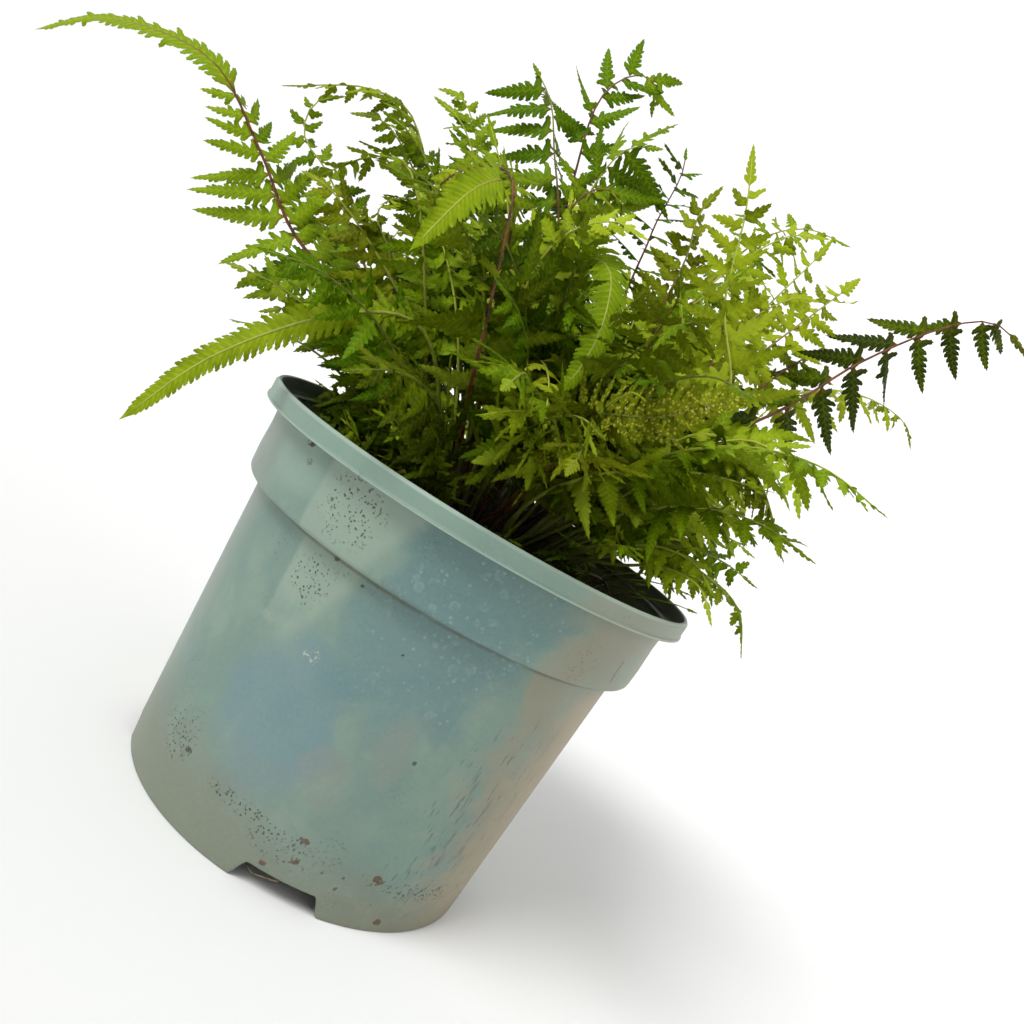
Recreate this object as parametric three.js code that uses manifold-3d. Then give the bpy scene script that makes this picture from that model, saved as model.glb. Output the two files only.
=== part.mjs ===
// A lady fern in a tapered plastic nursery pot, in millimetres, +Z up.
// The origin is the centre of the pot's flat seat, which stands on the plane z = 0.
// The pot is a thin shell with a cuff and a lip. Round the seat its floor is raised to a channel
// with drain holes, and the foot ring outside the channel is notched to let the water out.
// Soil fills the pot, a rootstock sits in a recess of the soil, and the fronds stand in plain
// holes in the rootstock or the soil.
import * as THREE from 'three';
import { mergeVertices } from 'three/addons/utils/BufferGeometryUtils.js';
import Module from 'manifold-3d';

const wasm = await Module();
wasm.setup();

// ---- Driving dimensions of the pot -------------------------------------------------------------
const POT_HEIGHT = 136.6;
const LIP_RADIUS = 85;
const LIP_HEIGHT = 6.8;
const CUFF_TOP_RADIUS = 79.7;
const CUFF_BOTTOM_RADIUS = 78.5;
const CUFF_BOTTOM = 104.8;
const CUFF_STEP = 5.3;
const BASE_RADIUS = 67.5;
const WALL = 1.5;
const EDGE = 0.8;
const SEAT_RADIUS = 34;
const CHANNEL_SLOPE = 2;
const CHANNEL_ROOF = 8;
const FLOOR_THICKNESS = 1.6;
const POT_SEGMENTS = 28;
const FLOOR_TOP = CHANNEL_ROOF + FLOOR_THICKNESS;
const WELL_RADIUS = SEAT_RADIUS - 1.3;

const NOTCH_COUNT = 4;
const NOTCH_BOTTOM_WIDTH = 32;
const NOTCH_TOP_WIDTH = 24;
const NOTCH_HEIGHT = 7;
const NOTCH_DEPTH = 12;
const NOTCH_TURN = 6;

const DRAIN_COUNT = 6;
const DRAIN_RADIUS = 4;
const DRAIN_RING = 49;

// ---- Soil and rootstock ------------------------------------------------------------------------
const GAP = 0.3;
const SOIL_LEVEL = 116;
const SOIL_BUMP = 1.2;
const RECESS_RADIUS = 31;
const RECESS_FLOOR = 102;
const RECESS_SEGMENTS = 18;
const CROWN_TOP = 123;
const ROOT_DEPTH = 4;

// ---- Fronds ------------------------------------------------------------------------------------
const STIPE_WIDTH = 2.6;
const STIPE_THICKNESS = 2;
const TIP_WIDTH = 0.9;
const TIP_LENGTH = 5;
const BLADE_THICKNESS = 0.8;
const CLEARANCE = 0.35;
const BLADE_END = 0.97;
const CROWDING = 0.92;
const WIDEST_AT = 0.3;
const LOWEST_LEAFLET = 0.6;
const LEAN = 76;
const LEAN_FORWARD = 26;
const LEAFLET_SAG = 0.12;
const SINGLE_FULLNESS = 0.62;
const PAIRED_FULLNESS = 0.42;
const BENDS = [0, 16, -16, 32, -32, 50, -50, 68, -68];
const CUTS = [1, 0.8, 0.62, 0.45];

// The fronds that shape the outline, each along points of its midrib from root to tip. wide is the
// longest leaflet, bare the leafless share of the length, roll the turn of the leaf about its midrib
// at root and tip, droop how far the leaflets hang, and taper how soon they shorten.
const OUTLINE_FRONDS = [
  {
    path: [[-16, -2, 116], [-43, -4, 152], [-78, -6, 171], [-106, -7, 181], [-129, -9, 199],
      [-157, -12, 216], [-190, -17, 210], [-208, -22, 193]],
    wide: 31, pairs: 11, bare: 0.3, roll: [-75, -40], droop: 5, taper: 1.7,
  },
  {
    path: [[-13, -9, 116], [-31, -22, 158], [-49, -34, 176], [-71, -47, 164], [-92, -62, 136],
      [-103, -74, 107]],
    wide: 12, pairs: 8, bare: 0.36, roll: [-35, -35], droop: 12, taper: 0.8,
  },
  {
    path: [[-10, 5, 116], [-53, 8, 187], [-89, 12, 235], [-113, 16, 241], [-145, 20, 225]],
    wide: 20, pairs: 8, bare: 0.42, roll: [0, 0], droop: 25, taper: 1,
  },
  {
    path: [[-13, 2, 116], [-61, 10, 166], [-109, 20, 204], [-128, 22, 214], [-132, 25, 227],
      [-124, 28, 236]],
    wide: 17, pairs: 7, bare: 0.5, roll: [-60, -60], droop: 10, taper: 0.8,
  },
  {
    path: [[-6, -6, 116], [-17, -8, 157], [-30, -18, 193], [-38, -34, 218], [-42, -55, 226],
      [-47, -80, 215], [-50, -100, 190]],
    wide: 15, pairs: 8, bare: 0.5, roll: [20, 20], droop: 12, taper: 0.8,
  },
  {
    path: [[-4, 3, 116], [-13, 4, 179], [-26, 6, 227], [-44, 8, 255], [-54, 10, 269],
      [-67, 12, 278]],
    wide: 27, pairs: 8, bare: 0.45, roll: [-75, -75], droop: 15, taper: 0.8,
  },
  {
    path: [[-2, 6, 116], [-11, 10, 169], [-30, 15, 240], [-40, 20, 277], [-37, 25, 294],
      [-28, 28, 300], [-21, 32, 289]],
    wide: 27, pairs: 8, bare: 0.5, roll: [-75, -60], droop: 5, taper: 0.8,
  },
  {
    path: [[3, 8, 116], [9, 16, 181], [3, 25, 242], [1, 28, 256], [0, 30, 276], [-4, 32, 287]],
    wide: 26, pairs: 8, bare: 0.5, roll: [5, 5], droop: 0, taper: 0.8,
  },
  {
    path: [[9, -5, 116], [46, -20, 174], [52, -26, 207], [34, -26, 234], [25, -22, 262],
      [15, -15, 286]],
    wide: 24, pairs: 8, bare: 0.35, roll: [-40, -40], droop: 5, taper: 0.8,
  },
  {
    path: [[6, 10, 116], [24, 40, 204], [38, 70, 272], [57, 90, 300], [83, 105, 309]],
    wide: 30, pairs: 8, bare: 0.45, roll: [0, 0], droop: 10, taper: 0.8,
  },
  {
    path: [[15, 2, 116], [50, 3, 181], [76, 5, 220], [91, 10, 248], [111, 14, 275], [128, 16, 287],
      [148, 15, 281]],
    wide: 27, pairs: 9, bare: 0.4, roll: [60, 60], droop: 20, taper: 0.8,
  },
  {
    path: [[12, 8, 116], [50, 25, 193], [85, 45, 232], [110, 60, 247], [136, 74, 250],
      [149, 82, 242]],
    wide: 24, pairs: 8, bare: 0.42, roll: [20, 20], droop: 15, taper: 0.8,
  },
  {
    path: [[12, -8, 116], [35, -22, 168], [50, -32, 194], [70, -46, 190], [88, -60, 171]],
    wide: 26, pairs: 8, bare: 0.4, roll: [-20, -20], droop: 15, taper: 0.8,
  },
  {
    path: [[20, -7, 116], [42, -20, 143], [61, -23, 153], [81, -23, 154], [95, -22, 149],
      [105, -20, 135]],
    wide: 18, pairs: 7, bare: 0.35, roll: [-10, -10], droop: 10, taper: 0.8,
  },
];

// The fronds that fill the plant. Each is an arc in an upright plane: its direction round the pot,
// the distance of its root from the axis, its length, and its slope at root and tip, in degrees.
const FILLING_FRONDS = [
  { turn: -95, root: 20, length: 132, rise: 70, fall: -30, wide: 24, pairs: 6 },
  { turn: -122, root: 18, length: 154, rise: 78, fall: -10, wide: 26, pairs: 7 },
  { turn: -70, root: 18, length: 154, rise: 76, fall: -15, wide: 26, pairs: 7 },
  { turn: -48, root: 21, length: 159, rise: 72, fall: -20, wide: 26, pairs: 7 },
  { turn: -142, root: 22, length: 122, rise: 64, fall: -20, wide: 22, pairs: 6 },
  { turn: -105, root: 11, length: 132, rise: 86, fall: 30, wide: 24, pairs: 6 },
  { turn: -41, root: 26, length: 122, rise: 66, fall: -15, wide: 23, pairs: 6 },
  { turn: 164, root: 22, length: 154, rise: 60, fall: -10, wide: 25, pairs: 7 },
  { turn: 200, root: 25, length: 111, rise: 54, fall: -15, wide: 22, pairs: 6 },
  { turn: -8, root: 25, length: 93, rise: 62, fall: -15, wide: 21, pairs: 6 },
  { turn: 14, root: 25, length: 104, rise: 66, fall: -15, wide: 22, pairs: 6 },
  { turn: 30, root: 22, length: 136, rise: 72, fall: -15, wide: 24, pairs: 6 },
  { turn: 50, root: 22, length: 196, rise: 60, fall: -35, wide: 28, pairs: 7 },
  { turn: 73, root: 22, length: 191, rise: 56, fall: -30, wide: 28, pairs: 7 },
  { turn: 96, root: 22, length: 212, rise: 62, fall: -35, wide: 29, pairs: 7 },
  { turn: 119, root: 22, length: 191, rise: 57, fall: -30, wide: 28, pairs: 7 },
  { turn: 141, root: 22, length: 196, rise: 63, fall: -30, wide: 28, pairs: 7 },
  { turn: 100, root: 13, length: 180, rise: 80, fall: 20, wide: 26, pairs: 7 },
  { turn: 20, root: 4, length: 148, rise: 86, fall: 60, wide: 22, pairs: 6 },
  { turn: 178, root: 7, length: 154, rise: 83, fall: 40, wide: 22, pairs: 6 },
  { turn: -58, root: 10, length: 117, rise: 82, fall: 20, wide: 21, pairs: 6 },
  { turn: -82, root: 3, length: 127, rise: 86, fall: 25, wide: 21, pairs: 6 },
];

// Short young fronds low in the pot, with their leaflets in close pairs.
const YOUNG_FRONDS = [
  { turn: 184, root: 38, length: 38, rise: 44, fall: 0, wide: 12, pairs: 5 },
  { turn: 206, root: 40, length: 38, rise: 42, fall: 5, wide: 13, pairs: 5 },
  { turn: -130, root: 46, length: 44, rise: 62, fall: 10, wide: 14, pairs: 5 },
  { turn: 166, root: 37, length: 54, rise: 52, fall: 0, wide: 15, pairs: 5 },
  { turn: 194, root: 30, length: 66, rise: 64, fall: 5, wide: 18, pairs: 6 },
  { turn: 219, root: 31, length: 62, rise: 68, fall: 10, wide: 18, pairs: 6 },
  { turn: -112, root: 33, length: 58, rise: 72, fall: 15, wide: 17, pairs: 5 },
  { turn: -55, root: 35, length: 66, rise: 62, fall: 10, wide: 18, pairs: 6 },
  { turn: -28, root: 36, length: 62, rise: 58, fall: 5, wide: 18, pairs: 6 },
  { turn: -6, root: 40, length: 56, rise: 50, fall: 5, wide: 16, pairs: 5 },
  { turn: 17, root: 38, length: 60, rise: 54, fall: 5, wide: 17, pairs: 5 },
  { turn: 41, root: 38, length: 62, rise: 54, fall: 5, wide: 17, pairs: 5 },
  { turn: 63, root: 41, length: 56, rise: 48, fall: 0, wide: 16, pairs: 5 },
  { turn: 86, root: 38, length: 62, rise: 54, fall: 0, wide: 17, pairs: 5 },
  { turn: 109, root: 40, length: 56, rise: 52, fall: 0, wide: 16, pairs: 5 },
  { turn: 131, root: 38, length: 60, rise: 52, fall: 0, wide: 17, pairs: 5 },
  { turn: 150, root: 40, length: 52, rise: 50, fall: 5, wide: 15, pairs: 5 },
  { turn: -80, root: 44, length: 40, rise: 60, fall: 10, wide: 13, pairs: 5 },
];

// ---- Finishes ----------------------------------------------------------------------------------
const plastic = new THREE.MeshStandardMaterial({ color: 0x8fa8a0, roughness: 0.45, metalness: 0 });
const earth = new THREE.MeshStandardMaterial({ color: 0x2a1d14, roughness: 0.95, metalness: 0 });
const rootwood = new THREE.MeshStandardMaterial({ color: 0x3b2a1a, roughness: 0.9, metalness: 0 });
const leaf = new THREE.MeshStandardMaterial({ color: 0x7f9c2c, roughness: 0.6, metalness: 0 });

// ---- Solids and meshes -------------------------------------------------------------------------
const radians = THREE.MathUtils.degToRad;

// A three.js geometry as a solid: only positions are kept, and shared corners are merged.
function solidOf(geometry) {
  const bare = geometry.index ? geometry.toNonIndexed() : geometry.clone();
  bare.deleteAttribute('normal');
  bare.deleteAttribute('uv');
  const merged = mergeVertices(bare, 1e-4);
  const index = Array.from(merged.index.array);
  const corners = [];
  for (let i = 0; i < index.length; i += 3) {
    const [a, b, c] = index.slice(i, i + 3);
    if (a !== b && b !== c && c !== a) {
      corners.push(a, b, c);
    }
  }
  return new wasm.Manifold(new wasm.Mesh({
    numProp: 3,
    vertProperties: new Float32Array(merged.attributes.position.array),
    triVerts: new Uint32Array(corners),
  }));
}

function meshOf(name, solid, material) {
  const { vertProperties, triVerts, numProp } = solid.getMesh();
  const positions = new Float32Array((vertProperties.length / numProp) * 3);
  for (let i = 0; i < positions.length / 3; i += 1) {
    positions.set(vertProperties.subarray(i * numProp, i * numProp + 3), i * 3);
  }
  const geometry = new THREE.BufferGeometry();
  geometry.setAttribute('position', new THREE.BufferAttribute(positions, 3));
  geometry.setIndex(Array.from(triVerts));
  geometry.computeVertexNormals();
  const mesh = new THREE.Mesh(geometry, material);
  mesh.name = name;
  return mesh;
}

// A profile of radius and height turned about the Z axis.
function turned(profile, segments) {
  const points = profile.map(([radius, height]) => new THREE.Vector2(radius, height));
  const geometry = new THREE.LatheGeometry(points, segments);
  geometry.rotateX(Math.PI / 2);
  return geometry;
}

// A steady draw between 0 and 1 for a place on a surface, without any stored state.
function scatter(a, b) {
  const wave = Math.sin(a * 12.9898 + b * 78.233) * 43758.5453;
  return wave - Math.floor(wave);
}

// ---- The pot -----------------------------------------------------------------------------------
function wallRadius(height) {
  const share = height / CUFF_BOTTOM;
  return BASE_RADIUS + (CUFF_BOTTOM_RADIUS - CUFF_STEP - BASE_RADIUS) * share;
}

function potShell() {
  const lipBottom = POT_HEIGHT - LIP_HEIGHT;
  const outside = [
    [wallRadius(0) - WALL - EDGE, 0],
    [wallRadius(0) - EDGE, 0],
    [wallRadius(1.2), 1.2],
    [wallRadius(CUFF_BOTTOM - 1), CUFF_BOTTOM - 1],
    [CUFF_BOTTOM_RADIUS - 2.2, CUFF_BOTTOM],
    [CUFF_BOTTOM_RADIUS - 0.6, CUFF_BOTTOM + 1],
    [CUFF_BOTTOM_RADIUS, CUFF_BOTTOM + 3],
    [CUFF_TOP_RADIUS, lipBottom - 0.2],
    [LIP_RADIUS - 0.5, lipBottom],
    [LIP_RADIUS, lipBottom + 0.5],
    [LIP_RADIUS, POT_HEIGHT - EDGE],
    [LIP_RADIUS - 0.6, POT_HEIGHT],
  ];
  const inside = [
    [LIP_RADIUS - WALL + 0.2, POT_HEIGHT],
    [LIP_RADIUS - WALL, lipBottom + WALL],
    [CUFF_TOP_RADIUS - WALL, lipBottom + WALL - 0.2],
    [CUFF_BOTTOM_RADIUS - WALL, CUFF_BOTTOM + 3.4],
    [wallRadius(CUFF_BOTTOM) - WALL, CUFF_BOTTOM + 0.2],
    [wallRadius(FLOOR_TOP + 3) - WALL, FLOOR_TOP + 3],
    [wallRadius(FLOOR_TOP) - WALL - 2, FLOOR_TOP],
    [WELL_RADIUS + CHANNEL_SLOPE, FLOOR_TOP],
    [WELL_RADIUS, FLOOR_THICKNESS],
    [0, FLOOR_THICKNESS],
  ];
  const underside = [
    [0, 0],
    [SEAT_RADIUS, 0],
    [SEAT_RADIUS + CHANNEL_SLOPE, CHANNEL_ROOF],
    [wallRadius(CHANNEL_ROOF) - WALL - 0.5, CHANNEL_ROOF],
  ];
  return solidOf(turned([...underside, ...outside, ...inside], POT_SEGMENTS));
}

// A trapezoid cut through the foot ring, so that water runs out from under the pot.
function notch(turn) {
  const outline = new THREE.Shape();
  outline.moveTo(-NOTCH_BOTTOM_WIDTH / 2 - 0.5, -1);
  outline.lineTo(NOTCH_BOTTOM_WIDTH / 2 + 0.5, -1);
  outline.lineTo(NOTCH_TOP_WIDTH / 2 + 0.8, NOTCH_HEIGHT - 1.2);
  outline.lineTo(NOTCH_TOP_WIDTH / 2 - 1, NOTCH_HEIGHT);
  outline.lineTo(-NOTCH_TOP_WIDTH / 2 + 1, NOTCH_HEIGHT);
  outline.lineTo(-NOTCH_TOP_WIDTH / 2 - 0.8, NOTCH_HEIGHT - 1.2);
  outline.closePath();
  const geometry = new THREE.ExtrudeGeometry(outline, { depth: NOTCH_DEPTH, bevelEnabled: false });
  geometry.rotateX(Math.PI / 2);
  geometry.translate(0, BASE_RADIUS + NOTCH_DEPTH / 2 - 1, 0);
  geometry.rotateZ(radians(turn - 90));
  return solidOf(geometry);
}

function drain(turn) {
  const geometry = new THREE.CylinderGeometry(DRAIN_RADIUS, DRAIN_RADIUS, 4 * FLOOR_THICKNESS, 6);
  geometry.rotateX(Math.PI / 2);
  geometry.translate(DRAIN_RING, 0, CHANNEL_ROOF + FLOOR_THICKNESS / 2);
  geometry.rotateZ(radians(turn));
  return solidOf(geometry);
}

function makePot() {
  let pot = potShell();
  for (let i = 0; i < NOTCH_COUNT; i += 1) {
    pot = pot.subtract(notch(NOTCH_TURN + (i * 360) / NOTCH_COUNT));
  }
  for (let i = 0; i < DRAIN_COUNT; i += 1) {
    pot = pot.subtract(drain(((i + 0.5) * 360) / DRAIN_COUNT));
  }
  return pot;
}

// ---- Soil and rootstock ------------------------------------------------------------------------
function makeSoil() {
  const edge = CUFF_BOTTOM_RADIUS - WALL - GAP - 0.6;
  const profile = [
    [0, FLOOR_THICKNESS],
    [WELL_RADIUS - GAP, FLOOR_THICKNESS],
    [WELL_RADIUS + CHANNEL_SLOPE - GAP, FLOOR_TOP],
    [wallRadius(FLOOR_TOP) - WALL - GAP - 2.2, FLOOR_TOP],
    [wallRadius(FLOOR_TOP + 3) - WALL - GAP, FLOOR_TOP + 3.4],
    [wallRadius(CUFF_BOTTOM) - WALL - GAP - 0.2, CUFF_BOTTOM + 0.8],
    [edge, CUFF_BOTTOM + 4.6],
    [edge, SOIL_LEVEL],
    [edge - 14, SOIL_LEVEL],
    [RECESS_RADIUS + 12, SOIL_LEVEL],
    [0, SOIL_LEVEL],
  ];
  const geometry = turned(profile, POT_SEGMENTS);
  const place = geometry.attributes.position;
  for (let i = 0; i < place.count; i += 1) {
    if (place.getZ(i) > SOIL_LEVEL - 0.01 && Math.hypot(place.getX(i), place.getY(i)) > 1) {
      const key = Math.round(place.getX(i));
      place.setZ(i, SOIL_LEVEL + (scatter(key, Math.round(place.getY(i))) - 0.5) * 2 * SOIL_BUMP);
    }
  }
  const recess = new THREE.CylinderGeometry(RECESS_RADIUS, RECESS_RADIUS, 40, RECESS_SEGMENTS);
  recess.rotateX(Math.PI / 2);
  recess.translate(0, 0, RECESS_FLOOR + 20);
  return solidOf(geometry).subtract(solidOf(recess));
}

// The rootstock, a knobbly dome of old leaf bases, which rests on the floor of its recess.
function makeCrown() {
  const rim = RECESS_RADIUS - GAP;
  const profile = [
    [0, RECESS_FLOOR],
    [rim - 1, RECESS_FLOOR],
    [rim, SOIL_LEVEL],
    [rim - 3, SOIL_LEVEL + 2.5],
    [rim - 9, CROWN_TOP - 3],
    [rim - 18, CROWN_TOP - 1],
    [0, CROWN_TOP],
  ];
  const geometry = turned(profile, RECESS_SEGMENTS);
  const place = geometry.attributes.position;
  for (let i = 0; i < place.count; i += 1) {
    const away = Math.hypot(place.getX(i), place.getY(i));
    if (place.getZ(i) > SOIL_LEVEL + 1 && away > 1) {
      const lift = (scatter(Math.round(place.getX(i)), Math.round(place.getY(i))) - 0.5) * 2;
      place.setZ(i, place.getZ(i) + lift);
    }
  }
  return solidOf(geometry);
}

// ---- Fronds ------------------------------------------------------------------------------------
// The points of an arching midrib: its slope goes from rise to fall, the more the nearer the tip.
function archPath({ turn, root, length, rise, fall }) {
  const steps = 6;
  const path = [];
  let out = root;
  let up = root > RECESS_RADIUS ? SOIL_LEVEL - ROOT_DEPTH : SOIL_LEVEL;
  for (let i = 0; i <= steps; i += 1) {
    path.push([out * Math.cos(radians(turn)), out * Math.sin(radians(turn)), up]);
    const slope = radians(rise + (fall - rise) * ((i + 0.5) / steps) ** 1.4);
    out += (length / steps) * Math.cos(slope);
    up += (length / steps) * Math.sin(slope);
  }
  return path;
}

// The midrib as a curve, with the frame of the leaf at any share of its length: along it, across
// it to the left, and up from its face.
class Midrib {
  constructor(frond) {
    this.roll = frond.roll;
    const path = frond.path.map((point) => new THREE.Vector3(...point));
    this.curve = new THREE.CatmullRomCurve3(path, false, 'catmullrom', 0.5);
    this.curve.arcLengthDivisions = 400;
    this.length = this.curve.getLength();
    const reach = path.at(-1).clone().sub(path[0]).setZ(0).normalize();
    this.level = new THREE.Vector3(-reach.y, reach.x, 0);
  }

  at(share) {
    const point = this.curve.getPointAt(share);
    const ahead = this.curve.getPointAt(Math.min(1, share + 0.02));
    const behind = this.curve.getPointAt(Math.max(0, share - 0.02));
    const along = ahead.sub(behind).normalize();
    const flat = this.level.clone().addScaledVector(along, -this.level.dot(along)).normalize();
    const lift = along.clone().cross(flat);
    const angle = radians(this.roll[0] + (this.roll[1] - this.roll[0]) * share);
    const across = flat.clone().multiplyScalar(Math.cos(angle)).addScaledVector(lift, Math.sin(angle));
    const up = lift.multiplyScalar(Math.cos(angle)).addScaledVector(flat, -Math.sin(angle));
    return { point, along, across, up };
  }
}

// How long the leaflets are at a share of the leafy length: widest at a third, then tapering.
function leafletShare(share, taper) {
  if (share < WIDEST_AT) {
    return LOWEST_LEAFLET + (1 - LOWEST_LEAFLET) * Math.sin((Math.PI / 2) * (share / WIDEST_AT));
  }
  return ((1 - share) / (1 - WIDEST_AT)) ** taper;
}

// The stations of a frond, from its root to its tip: the four corners of the midrib's section.
function stationsOf(frond) {
  const rib = new Midrib(frond);
  const shares = [];
  for (let i = 0; i < frond.stipeSteps; i += 1) {
    shares.push((frond.bare * i) / frond.stipeSteps);
  }
  const leafy = frond.paired ? frond.pairs : 2 * frond.pairs;
  for (let i = 0; i <= leafy; i += 1) {
    shares.push(frond.bare + (1 - frond.bare) * BLADE_END * (i / leafy) ** CROWDING);
  }
  return shares.map((share) => {
    const frame = rib.at(share);
    const width = STIPE_WIDTH + (TIP_WIDTH - STIPE_WIDTH) * share;
    const depth = STIPE_THICKNESS + (BLADE_THICKNESS - STIPE_THICKNESS) * Math.min(1, share * 1.6);
    return { ...frame, share, width, depth };
  });
}

// The pointed end past the last station.
function tipOf(stations) {
  const end = stations.at(-1);
  return end.point.clone().addScaledVector(end.along, TIP_LENGTH);
}

function corner(station, side, level, grow = 0) {
  return station.point.clone()
    .addScaledVector(station.across, side * (station.width / 2 + grow))
    .addScaledVector(station.up, level * (station.depth / 2 + grow));
}

// The outline of a leaflet: from its lower root corner round its tip to its upper root corner.
// Each point is a share of its length and of its half width.
const LANCE = [[0.3, -1], [0.66, -0.72], [1, 0], [0.62, 0.78], [0.26, 1]];
const KITE = [[0.36, -1], [1, 0], [0.3, 1]];

function leafletPoints(lower, upper, side, shape, bend, grow = 0) {
  const { length, outline, droop, lean, fullness } = shape;
  const middle = lower.point.clone().add(upper.point).multiplyScalar(0.5);
  const along = upper.point.clone().sub(lower.point).normalize();
  const across = lower.across.clone().multiplyScalar(side);
  const up = lower.up;
  const tilt = radians(droop + bend);
  const reach = across.clone().multiplyScalar(Math.cos(tilt)).addScaledVector(up, -Math.sin(tilt));
  const face = up.clone().multiplyScalar(Math.cos(tilt)).addScaledVector(across, Math.sin(tilt));
  const halfWidth = upper.point.distanceTo(lower.point) * fullness + grow;
  const half = BLADE_THICKNESS / 2 + grow;
  const start = middle.addScaledVector(across, lower.width / 2);
  return outline.map(([out, wide]) => {
    const place = start.clone()
      .addScaledVector(reach, (length + grow) * out * Math.sin(radians(lean)))
      .addScaledVector(along, length * out * Math.cos(radians(lean)) + halfWidth * wide)
      .addScaledVector(face, -length * LEAFLET_SAG * out * out);
    const pointed = out === 1;
    return {
      top: place.clone().addScaledVector(face, pointed ? 0 : half),
      bottom: pointed ? null : place.clone().addScaledVector(face, -half),
    };
  });
}

// Triangles between a leaflet's lower side and its upper side, alike on both faces.
function leafletFaces(count) {
  const faces = [];
  let low = 0;
  let high = count - 1;
  while (high - low > 1) {
    faces.push([low, low + 1, high]);
    low += 1;
    if (high - low > 1) {
      faces.push([low, high - 1, high]);
      high -= 1;
    }
  }
  return faces;
}

class Shell {
  constructor() {
    this.points = [];
    this.faces = [];
  }

  add(point) {
    this.points.push(point.x, point.y, point.z);
    return this.points.length / 3 - 1;
  }

  triangle(a, b, c, turnOver = false) {
    if (a !== b && b !== c && c !== a) {
      this.faces.push(...(turnOver ? [a, c, b] : [a, b, c]));
    }
  }

  quad(a, b, c, d, turnOver = false) {
    this.triangle(a, b, c, turnOver);
    this.triangle(a, c, d, turnOver);
  }

  solid() {
    return new wasm.Manifold(new wasm.Mesh({
      numProp: 3,
      vertProperties: new Float32Array(this.points),
      triVerts: new Uint32Array(this.faces),
    }));
  }
}

// A leaflet's faces, between four corners of the midrib's side and its own outline.
function addLeaflet(shell, roots, points, side) {
  const turnOver = side < 0;
  const outer = points.map(({ top, bottom }) => {
    const upper = shell.add(top);
    return [upper, bottom ? shell.add(bottom) : upper];
  });
  const tops = [roots.lowerTop, ...outer.map(([upper]) => upper), roots.upperTop];
  const bottoms = [roots.lowerBottom, ...outer.map(([, under]) => under), roots.upperBottom];
  for (const [a, b, c] of leafletFaces(tops.length)) {
    shell.triangle(tops[a], tops[c], tops[b], turnOver);
    shell.triangle(bottoms[a], bottoms[b], bottoms[c], turnOver);
  }
  for (let i = 0; i < tops.length - 1; i += 1) {
    shell.quad(tops[i], tops[i + 1], bottoms[i + 1], bottoms[i], turnOver);
  }
}

// One leaflet as a small solid of its own, for testing whether it is clear.
function leafletProbe(lower, upper, side, shape, bend, grow) {
  const shell = new Shell();
  const roots = {
    lowerTop: shell.add(corner(lower, side, 1, grow)),
    upperTop: shell.add(corner(upper, side, 1, grow)),
    lowerBottom: shell.add(corner(lower, side, -1, grow)),
    upperBottom: shell.add(corner(upper, side, -1, grow)),
  };
  addLeaflet(shell, roots, leafletPoints(lower, upper, side, shape, bend, grow), side);
  shell.quad(roots.lowerTop, roots.upperTop, roots.upperBottom, roots.lowerBottom, side > 0);
  return shell.solid();
}

// A stretch of the midrib as a solid, grown outward by a clearance.
function stretch(stations, grow) {
  const shell = new Shell();
  const rings = stations.map((station) => [
    shell.add(corner(station, 1, 1, grow)), shell.add(corner(station, -1, 1, grow)),
    shell.add(corner(station, -1, -1, grow)), shell.add(corner(station, 1, -1, grow)),
  ]);
  for (let i = 0; i < rings.length - 1; i += 1) {
    for (let k = 0; k < 4; k += 1) {
      const next = (k + 1) % 4;
      shell.quad(rings[i][k], rings[i][next], rings[i + 1][next], rings[i + 1][k]);
    }
  }
  const last = rings.at(-1);
  shell.quad(rings[0][0], rings[0][3], rings[0][2], rings[0][1]);
  shell.quad(last[0], last[1], last[2], last[3]);
  return shell.solid();
}

// The plain hole that a stem stands in: the stem's buried stretch with a gap all round.
function holeOf(stations) {
  const away = Math.hypot(stations[0].point.x, stations[0].point.y);
  const inCrown = away < RECESS_RADIUS;
  const surface = inCrown ? CROWN_TOP + 1 - 0.12 * away : SOIL_LEVEL + SOIL_BUMP;
  const buried = stations.slice(0, stations.findIndex(({ point }) => point.z > surface) + 1);
  const [first] = buried;
  const start = { ...first, point: first.point.clone().addScaledVector(first.along, -GAP) };
  return stretch([start, ...buried.slice(1)], GAP);
}

// ---- Keeping leaflets clear of each other ------------------------------------------------------
class Obstacle {
  constructor(solid, owner) {
    this.solid = solid;
    this.owner = owner;
    this.box = solid.boundingBox();
  }

  meets(solid, box) {
    for (let axis = 0; axis < 3; axis += 1) {
      if (box.min[axis] > this.box.max[axis] || box.max[axis] < this.box.min[axis]) {
        return false;
      }
    }
    return this.solid.intersect(solid).volume() > 1e-9;
  }
}

function isClear(solid, obstacles, owner) {
  const box = solid.boundingBox();
  return !obstacles.some((obstacle) => obstacle.owner !== owner && obstacle.meets(solid, box));
}

// The first bend and length at which a leaflet is clear of everything placed so far.
function clearLeaflet(lower, upper, side, shape, obstacles, owner) {
  for (const cut of CUTS) {
    for (const bend of BENDS) {
      const tried = { ...shape, length: shape.length * cut };
      if (isClear(leafletProbe(lower, upper, side, tried, bend, CLEARANCE), obstacles, owner)) {
        return { shape: tried, bend };
      }
    }
  }
  return null;
}

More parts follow.
